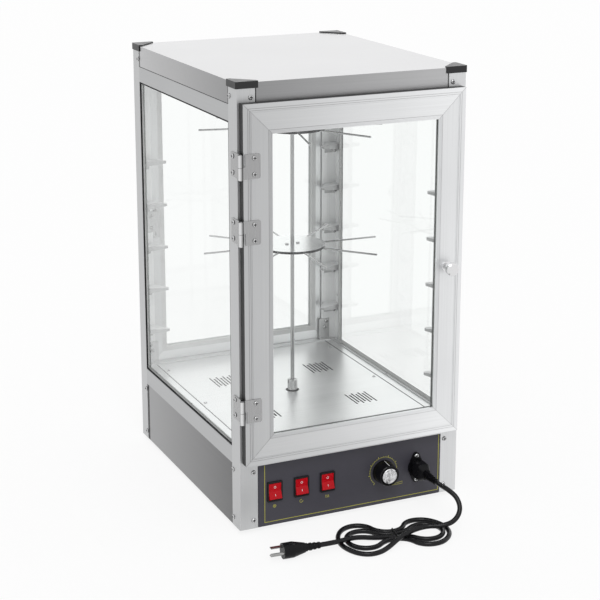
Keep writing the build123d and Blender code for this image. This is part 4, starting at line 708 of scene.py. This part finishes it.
# Moulded skins and paints: tone, roughness, grain, handling marks, bump, coat, shine
panel_paint = moulded("panel_paint", (0.047, 0.045, 0.058), 0.45, 1600.0, 0.03, 0.05, 0.0, 0.4)
housing_nylon = moulded("housing_nylon", (0.012, 0.012, 0.013), 0.34, 1200.0, 0.05, 0.12, 0.0, 0.2)
black_plastic = moulded("black_plastic", (0.005, 0.005, 0.006), 0.28, 1500.0, 0.04, 0.06, 0.0, 0.15)
knob_plastic = moulded("knob_plastic", (0.004, 0.004, 0.005), 0.16, 1500.0, 0.03, 0.03, 0.15, 0.15)
seal_rubber = moulded("seal_rubber", (0.016, 0.016, 0.017), 0.6, 1400.0, 0.1, 0.2)
foot_rubber = moulded("foot_rubber", (0.02, 0.02, 0.02), 0.7, 1000.0, 0.15, 0.25)
cord_sheath = moulded("cord_sheath", (0.005, 0.005, 0.006), 0.26, 1100.0, 0.06, 0.08, 0.0, 0.25)
rocker_red = moulded("rocker_red", (0.46, 0.002, 0.008), 0.22, 1200.0, 0.04, 0.03, 0.08, 0.15)
ceramic_glaze = moulded("ceramic_glaze", (0.78, 0.77, 0.73), 0.18, 500.0, 0.03, 0.04)
yellow_print = moulded("yellow_print", (0.42, 0.4, 0.06), 0.5, 1800.0, 0.08, 0.05)
white_print = moulded("white_print", (0.8, 0.8, 0.8), 0.45, 1800.0, 0.03, 0.03)

# Moulded skins with a mask: two tones, roughness, grain, mask, shine
# Painted light: the caps' and the supports' faces that look up or down are lighter than their sides.
cap_nylon = two_tone_skin(
    "cap_nylon", (0.006, 0.006, 0.007), (0.055, 0.055, 0.057), 0.4, 1200.0, faces_up
)
support_nylon = two_tone_skin(
    "support_nylon", (0.42, 0.42, 0.425), (0.78, 0.78, 0.785), 0.4, 900.0, faces_up
)
side_seal = two_tone_skin(
    "side_seal", (0.006, 0.006, 0.007), (0.42, 0.42, 0.42), 0.55, 1400.0, pale_lip, 0.1
)
front_door_seal = two_tone_skin(
    "front_door_seal", (0.14, 0.14, 0.14), (0.016, 0.016, 0.017), 0.55, 1400.0, outer_band(FRONT_DOOR_BOX)
)
rear_door_seal = two_tone_skin(
    "rear_door_seal", (0.62, 0.62, 0.62), (0.016, 0.016, 0.017), 0.55, 1400.0, outer_band(REAR_DOOR_BOX)
)

# Clear glass: tint, roughness
pane_glass = clear_glass("pane_glass", (0.985, 0.995, 0.99))
bulb_glass = clear_glass("bulb_glass", (0.96, 0.96, 0.95), 0.12)

FINISH_OF = {
    "corner_posts": post_metal,
    "sill_rails": rail_metal,
    "head_rails": rail_metal,
    "front_door_frame": front_door_metal,
    "rear_door_frame": rear_door_metal,
    "lid": lid_steel,
    "base_panels": base_steel,
    "base_plate": base_steel,
    "floor_panel": floor_steel,
    "floor_ledges": floor_steel,
    "control_panel": panel_paint,
    "corner_caps": cap_nylon,
    "shelf_supports": support_nylon,
    "corner_braces": brace_zinc,
    "door_catches": brace_zinc,
    "rubber_feet": foot_rubber,
    "gear_motor": motor_steel,
    "heating_element": element_sheath,
    "power_inlet": black_plastic,
    "switch_housings": housing_nylon,
    "thermostat_body": black_plastic,
    "cord_connector": black_plastic,
    "mains_plug": black_plastic,
    "plug_pins": pin_nickel,
    "hank_tie": seal_rubber,
    "lamp_holder": ceramic_glaze,
    "terminal_block": ceramic_glaze,
    "lamp_bulb": bulb_glass,
    "thermostat_knob": knob_plastic,
    "knob_insert": insert_metal,
    "rack_shaft": polished_steel,
    "rack_discs": disc_steel,
    "rack_rods": polished_steel,
    "front_door_knob": knob_chrome,
    "rear_door_knob": knob_chrome,
    "side_gaskets": side_seal,
    "front_door_seals": front_door_seal,
    "rear_door_seals": rear_door_seal,
    "case_hinge_leaves": hinge_zinc_painted_sheen,
    "front_door_hinge_leaves": hinge_zinc_painted_sheen,
    "rear_door_hinge_leaves": hinge_zinc_painted_sheen,
    "side_glass": pane_glass,
    "front_door_glass": pane_glass,
    "rear_door_glass": pane_glass,
    "rocker_light": rocker_red,
    "rocker_motor": rocker_red,
    "rocker_heat": rocker_red,
}
for node_name, node in nodes.items():
    finish = FINISH_OF.get(node_name, zinc_plate)
    if not node.material_slots:
        node.data.materials.append(finish)
    for held in node.material_slots:
        held.link = "OBJECT"
        held.material = finish


# Mains lead: one line from the connector through the tied hank to the plug
HANK_PLACE = (22.0, -330.0)
HANK_TURN = math.radians(-10.5)
CORD_WIDTH = 7.8
FLOOR_LEVEL = 4.0
LEAD_POINTS = (
    (116, -292, 61),
    (116, -306.5, 61),
    (121, -322.5, 58.8),
    (129.5, -338, 49.5),
    (128.5, -350.5, 33.5),
    (113.5, -357.5, 20.5),
    (92, -356, 16.5),
)
OVER_THE_HANK = ((48, -2, 14.5), (8, -20.5, 13.5), (-24.4, -44.1, 4))
LEFT_OUTER = ((-44.3, -55.2), (-61.8, -54.2), (-77.2, -41.2), (-88.1, -17.2), (-88.1, 8.9), (-77.3, 33.2))
LEFT_RETURN = ((-61.6, 45.9), (-44.6, 47.1), (-30.5, 38.5), (-23.8, 22.9), (-9.1, 13), (8, 13.1))
RIGHT_OUTER = ((20.9, 21.5), (28.8, 37.5), (46.1, 45.9), (68.9, 40.6), (87.7, 15.4), (87.7, -15.4))
RIGHT_RETURN = ((68.9, -40.5), (46.1, -45.9), (28.8, -37.6), (20.8, -21.6), (7.9, -13.3), (-8.6, -12.9))
LEFT_INNER = ((-23.3, -20.1), (-35.3, -32.5), (-52.2, -35.4), (-67.6, -27.8), (-75.8, -12.6), (-75.9, 4.4))
LEFT_BACK = ((-67.7, 19.6), (-52.2, 27), (-35.5, 23.9), (-23.8, 11.6), (-7.5, 4.2), (19.7, 5.9))
RIGHT_INNER = ((39.8, 26.8), (63.1, 26.7), (78.6, 10.8), (78.6, -10.7), (63.1, -26.6), (39.8, -26.7))
TAIL_POINTS = ((19.9, -5.9, 4), (-28, -4.15, 4), (-64, -10, 13), (-98, -20, 12.5), (-124.3, -22.9, 12.5))


def hank_spot(out, across, height=FLOOR_LEVEL):
    """A place given along and across the hank, in the object's millimetres."""
    cosine, sine = math.cos(HANK_TURN), math.sin(HANK_TURN)
    x = HANK_PLACE[0] + out * cosine - across * sine
    y = HANK_PLACE[1] + out * sine + across * cosine
    return (x, y, height)


def draw_cord():
    """The cord as a round curve on its control points."""
    turns = LEFT_OUTER + LEFT_RETURN + RIGHT_OUTER + RIGHT_RETURN + LEFT_INNER + LEFT_BACK + RIGHT_INNER
    path = list(LEAD_POINTS) + [hank_spot(*spot) for spot in OVER_THE_HANK + turns + TAIL_POINTS]
    curve = bpy.data.curves.new("mains_cord", "CURVE")
    curve.dimensions = "3D"
    curve.resolution_u = 10
    curve.bevel_depth = CORD_WIDTH / 2 * MM
    curve.bevel_resolution = 5
    curve.use_fill_caps = True
    line = curve.splines.new("NURBS")
    line.points.add(len(path) - 1)
    for point, spot in zip(line.points, path):
        point.co = (*(Vector(spot) * MM), 1)
    line.order_u = 3
    line.use_endpoint_u = True
    curve.materials.append(cord_sheath)
    cord = bpy.data.objects.new("mains_cord", curve)
    bpy.context.collection.objects.link(cord)
    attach(cord, "case")
    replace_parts(cord, "cord_lead", "cord_hank", "cord_tail")


draw_cord()


# Screws: domed heads with a cross recess, one at each packed screw; most numbers are shares of a head's size
SCREW_SIDES = 24
HEAD_PROFILE = ((1.0, 0.0), (0.98, 0.3), (0.9, 0.6), (0.78, 0.85), (0.62, 1.0))
HEAD_SPREAD = 1.18
RECESS_DEPTH = 0.75
RECESS_TAPER = 0.8
CROSS_ARM = 0.17
CROSS_REACH = 0.62
SHANK_SHARE = 0.42
HEAD_STARTS = 0.8

# Small screws inside the case, in metres: each kind's places, then its radius, head height and shank length
BOSS_LEVELS = (0.1945, 0.2695, 0.3445, 0.4195, 0.4945)
BOSS_X, BOSS_Y = 0.183, 0.216
BOSS_SCREW = (0.0029, 0.0014, 0.003)
FLOOR_SCREW_ROWS = (-0.175, 0.0, 0.175)
FLOOR_SCREW_X, FLOOR_SCREW_LEVEL = 0.155, 0.1365
FLOOR_SCREW = (0.0026, 0.0011, 0.0008)
LEDGE_SCREW_X, LEDGE_SCREW_LEVEL = 0.1792, 0.1385
LEDGE_SCREW = (0.0017, 0.001, 0.001)
CATCH_LEVELS = (0.4055, 0.3845)
CATCH_X, CATCH_Y = 0.1635, 0.2225
CATCH_SCREW = (0.003, 0.0016, 0.001)


def islands(node_name):
    """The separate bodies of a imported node, each as its points."""
    work = bmesh.new()
    work.from_mesh(nodes[node_name].data)
    bmesh.ops.remove_doubles(work, verts=work.verts, dist=1e-6)
    seen = set()
    found = []
    for start in work.verts:
        if start in seen:
            continue
        seen.add(start)
        island = [start]
        for vert in island:
            for edge in vert.link_edges:
                other = edge.other_vert(vert)
                if other not in seen:
                    seen.add(other)
                    island.append(other)
        found.append([vert.co.copy() for vert in island])
    work.free()
    return found


def screw_place(spots):
    """Where a packed screw's head starts, its facing and radius, and how long head and shank are."""
    low = Vector([min(spot[axis] for spot in spots) for axis in range(3)])
    high = Vector([max(spot[axis] for spot in spots) for axis in range(3)])
    size = high - low
    way = max(range(3), key=lambda axis: abs(size[axis] - (sum(size) - size[axis]) / 2))
    radius = max(size[axis] for axis in range(3) if axis != way) / 2
    foot = (low + high) / 2

    def reach(spot):
        offset = spot - foot
        offset[way] = 0
        return offset.length

    head = [spot[way] for spot in spots if reach(spot) > radius * HEAD_STARTS]
    outward = 1 if high[way] - max(head) < min(head) - low[way] else -1
    direction = Vector((0, 0, 0))
    direction[way] = outward
    foot[way] = min(head) if outward > 0 else max(head)
    height = max(head) - min(head)
    return foot, direction, radius, height, size[way] - height


def add_screw(work, foot, direction, radius, height, shank):
    """A domed head with a cross cut into it, on its shank."""
    turn = direction.to_track_quat("Z", "Y").to_matrix().to_4x4()
    place = Matrix.Translation(foot) @ turn

    def loop_of(spots, level):
        return [work.verts.new(place @ Vector((x, y, level))) for x, y in spots]

    def ring(size, level):
        angles = [math.tau * step / SCREW_SIDES for step in range(SCREW_SIDES)]
        return loop_of([(size * math.cos(a), size * math.sin(a)) for a in angles], level)

    def band(first, second):
        around = range(len(first))
        return [work.faces.new((first[i - 1], first[i], second[i], second[i - 1])) for i in around]

    radius *= HEAD_SPREAD
    rings = [ring(radius * share, height * rise) for share, rise in HEAD_PROFILE]
    shank_rings = [ring(radius * SHANK_SHARE, 0.0), ring(radius * SHANK_SHARE, -shank)]
    for first, second in zip(rings, rings[1:]):
        wall = band(first, second)
        # The head's lowest band takes the painted shade, as a contact shadow.
        if first is rings[0]:
            for face in wall:
                face.material_index = 1
    band(rings[0], shank_rings[0])
    band(*shank_rings)
    work.faces.new(shank_rings[1])
    arm, far = radius * CROSS_ARM, radius * CROSS_REACH
    quarter = ((far, -arm), (far, arm), (arm, arm))
    cross = []
    for c, s in ((1, 0), (0, 1), (-1, 0), (0, -1)):
        cross += [(x * c - y * s, x * s + y * c) for x, y in quarter]
    mouth = loop_of(cross, height)
    deep = loop_of([(x * RECESS_TAPER, y * RECESS_TAPER) for x, y in cross], height * (1 - RECESS_DEPTH))
    recess = band(mouth, deep)
    recess.append(work.faces.new(deep))
    # The cross recess takes the painted shade.
    for face in recess:
        face.material_index = 1
    rims = [work.edges.get((loop[i - 1], loop[i])) for loop in (rings[-1], mouth) for i in range(len(loop))]
    bmesh.ops.triangle_fill(work, edges=rims, use_beauty=True, normal=direction)


def dress_screws(node_name, body):
    """Domed cross-recess screws in the places of a node's packed ones."""
    work = bmesh.new()
    for spots in islands(node_name):
        add_screw(work, *screw_place(spots))
    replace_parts(finish_screws(node_name + "_domed", work, body), node_name)


def finish_screws(name, work, body):
    """Makes one piece of the screws in a bmesh, with the painted shade as its second finish."""
    piece = new_piece(name, work, screw_zinc, smooth=False)
    piece.data.materials.append(painted_recess_shade)
    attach(piece, body)
    return piece


def add_inner_screws():
    """The small screws in the shelf supports' bosses, the floor's edges and the catch plates."""
    work = bmesh.new()
    up = Vector((0, 0, 1))
    for level in BOSS_LEVELS:
        for side in (-1, 1):
            for end in (-1, 1):
                foot = Vector((side * BOSS_X, end * BOSS_Y, level))
                add_screw(work, foot, Vector((0, -end, 0)), *BOSS_SCREW)
    for side in (-1, 1):
        for row in FLOOR_SCREW_ROWS:
            add_screw(work, Vector((side * FLOOR_SCREW_X, row, FLOOR_SCREW_LEVEL)), up, *FLOOR_SCREW)
            add_screw(work, Vector((side * LEDGE_SCREW_X, row, LEDGE_SCREW_LEVEL)), up, *LEDGE_SCREW)
    for end in (-1, 1):
        for level in CATCH_LEVELS:
            foot = Vector((-end * CATCH_X, end * CATCH_Y, level))
            add_screw(work, foot, Vector((0, -end, 0)), *CATCH_SCREW)
    finish_screws("inner_screws", work, "case")


dress_screws("case_screws", "case")
dress_screws("front_door_screws", "front_door")
dress_screws("rear_door_screws", "rear_door")
add_inner_screws()


# Printing on the control panel
BORDER_LEFT, BORDER_RIGHT = -149.2, 157.8
BORDER_TOP, BORDER_BOTTOM = 109.5, 14.0
ICON_LEVEL = 39.0
ICON_RADIUS = 2.4
SCALE_RADIUS = 24.0
SCALE_START, SCALE_END = -50, 230
SCALE_STEP = 10
SCALE_PIECES = 84
LONG_MARK_EVERY = 4
HEAT_WEDGE = ((68.0, 36.6), (92.0, 36.6), (92.0, 40.4), (68.0, 36.9))


def lamp_icon(centre):
    """A lamp: a ring with a cross in it."""
    x, z = centre
    diagonal = 1.7
    return [
        (circle(centre, ICON_RADIUS), True),
        ([(x - diagonal, z - diagonal), (x + diagonal, z + diagonal)], False),
        ([(x - diagonal, z + diagonal), (x + diagonal, z - diagonal)], False),
    ]


def turning_icon(centre):
    """A turning rack: most of a ring with an arrow head."""
    x, z = centre
    return [
        (arc(centre, ICON_RADIUS, 60, 340, 18), False),
        ([(x + 0.9, z - 0.6), (x + 2.3, z - 0.9), (x + 3.3, z + 0.3)], False),
    ]


def heat_icon(centre):
    """Heat: three rising waves."""
    x, z = centre
    rises = [step / 10 for step in range(11)]
    wave = [(x + 0.55 * math.sin(math.tau * r), z + ICON_RADIUS * (2 * r - 1)) for r in rises]
    columns = (-ICON_RADIUS, 0.0, ICON_RADIUS)
    return [([(x + column, z) for x, z in wave], False) for column in columns]


def print_panel():
    """The border, the switches' signs and the dial's scale, in yellow."""
    place = facing((0, PANEL_FACE, 0), (1, 0, 0), (0, 0, 1))
    work = bmesh.new()
    border = [(BORDER_LEFT, BORDER_TOP), (BORDER_LEFT, BORDER_BOTTOM)]
    border += [(BORDER_RIGHT, BORDER_BOTTOM), (BORDER_RIGHT, BORDER_TOP)]
    stroke(work, place, border, 1.0)
    for icon, column in zip((lamp_icon, turning_icon, heat_icon), SWITCH_COLUMNS.values()):
        for path, closed in icon((column, ICON_LEVEL)):
            stroke(work, place, path, 0.75, closed=closed)
    stroke(work, place, arc(DIAL_CENTRE, SCALE_RADIUS, SCALE_START, SCALE_END, SCALE_PIECES), 0.6)
    for mark, turn in enumerate(range(SCALE_START, SCALE_END + 1, SCALE_STEP)):
        way = Vector((math.cos(math.radians(turn)), math.sin(math.radians(turn))))
        length, width = (3.2, 0.9) if mark % LONG_MARK_EVERY == 0 else (1.6, 0.5)
        inner, outer = [Vector(DIAL_CENTRE) + way * (SCALE_RADIUS + out) for out in (0.3, length)]
        stroke(work, place, [inner, outer], width)
    stroke(work, place, HEAT_WEDGE, 0.7, closed=True)
    piece = new_piece("panel_printing", work, yellow_print, smooth=False)
    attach(piece, "case")


print_panel()


# The rockers' marks: a ring for off and a bar for on, in each rocker's own slope
SADDLE, TIP_OUT, TIP_UP = 3.2, 5.748, 12.326
ROCKER_SLOPE = math.atan2(TIP_OUT - SADDLE, TIP_UP)


def rocker_face(column, upper):
    """The plane of a rocker's upper or lower half, with its origin at the saddle."""
    out = Vector((0, -math.cos(ROCKER_THROW), math.sin(ROCKER_THROW)))
    up = Vector((0, math.sin(ROCKER_THROW), math.cos(ROCKER_THROW)))
    side = 1 if upper else -1
    face_up = up * math.cos(ROCKER_SLOPE) + out * math.sin(ROCKER_SLOPE) * side
    origin = Vector((column, ROCKER_PIVOT, SWITCH_LEVEL)) + out * SADDLE
    return facing(origin, (1, 0, 0), face_up)


def mark_rocker(name, column):
    """A white ring above and a bar below."""
    work = bmesh.new()
    stroke(work, rocker_face(column, True), circle((0, 6.4), 1.6), 0.55, closed=True)
    stroke(work, rocker_face(column, False), [(0, -8.0), (0, -4.6)], 0.7)
    piece = new_piece(name + "_marks", work, white_print, smooth=False)
    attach(piece, name)


for rocker_name, rocker_column in SWITCH_COLUMNS.items():
    mark_rocker(rocker_name, rocker_column)


# The dial's pointer, along the knob's side: where it starts and ends, out from the case and over the centre
POINTER_START, POINTER_END = (-229.0, 18.95), (-246.5, 17.15)


def add_pointer():
    """A white line down the top of the knob's side."""
    x, z = DIAL_CENTRE
    start, end = [Vector((x, out, z + over)) for out, over in (POINTER_START, POINTER_END)]
    run = end - start
    work = bmesh.new()
    stroke(work, facing(start, (-1, 0, 0), run), [(0, 0), (0, run.length)], 0.9, rise=0.12)
    piece = new_piece("dial_pointer", work, white_print, smooth=False)
    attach(piece, "thermostat_knob")


add_pointer()


# Floor, lamps and world
FLOOR_TONE = (0.93, 0.93, 0.93)
FLOOR_GLOW = 0.85
SKY_STRENGTH = 0.72
WHITE = (1, 1, 1, 1)


def picture_rays(tree):
    """1 for what the camera, metal and glass see, 0 for what lights the object."""
    path = wire(tree, "ShaderNodeLightPath").outputs
    seen = sums(tree, "MAXIMUM", path["Is Camera Ray"], path["Is Glossy Ray"])
    return sums(tree, "MAXIMUM", seen, path["Is Transmission Ray"])


def lay_floor():
    """A plain pale floor, far larger than the view."""
    work = bmesh.new()
    bmesh.ops.create_grid(work, x_segments=1, y_segments=1, size=120.0)
    material, tree, shader = start_material("pale_floor", FLOOR_TONE)
    feed(tree, shader.inputs, {"Roughness": 0.9, "Specular IOR Level": 0.1, "Base Color": (*FLOOR_TONE, 1)})
    white = wire(tree, "ShaderNodeEmission", {"Color": WHITE, "Strength": 1.0})
    glow = sums(tree, "MULTIPLY", picture_rays(tree), FLOOR_GLOW)
    mix_shaders(tree, glow, shader, white, tree.nodes["Material Output"])
    floor = new_piece("stage_floor", work, material, smooth=False)


def hang_sun(name, strength, width, place):
    """A broad, even lamp that shines from a place towards the object."""
    lamp = bpy.data.lights.new(name, "SUN")
    lamp.energy = strength
    lamp.angle = math.radians(width)
    sun = bpy.data.objects.new(name, lamp)
    sun.rotation_euler = Vector(place).to_track_quat("Z", "Y").to_euler()
    bpy.context.collection.objects.link(sun)


def set_world():
    """A soft even sky; what the camera, metal and glass see of it is white."""
    world = bpy.data.worlds.new("studio")
    bpy.context.scene.world = world
    world.use_nodes = True
    tree = world.node_tree
    tree.nodes.clear()
    soft = wire(tree, "ShaderNodeBackground", {"Color": WHITE, "Strength": SKY_STRENGTH})
    white = wire(tree, "ShaderNodeBackground", {"Color": WHITE, "Strength": 1.0})
    mix_shaders(tree, picture_rays(tree), soft, white, wire(tree, "ShaderNodeOutputWorld"))


lay_floor()
hang_sun("front_lamp", 0.9, 30.0, (-0.5, -1.2, 1.6))
hang_sun("back_lamp", 0.2, 50.0, (0.6, 1.4, 0.9))
set_world()
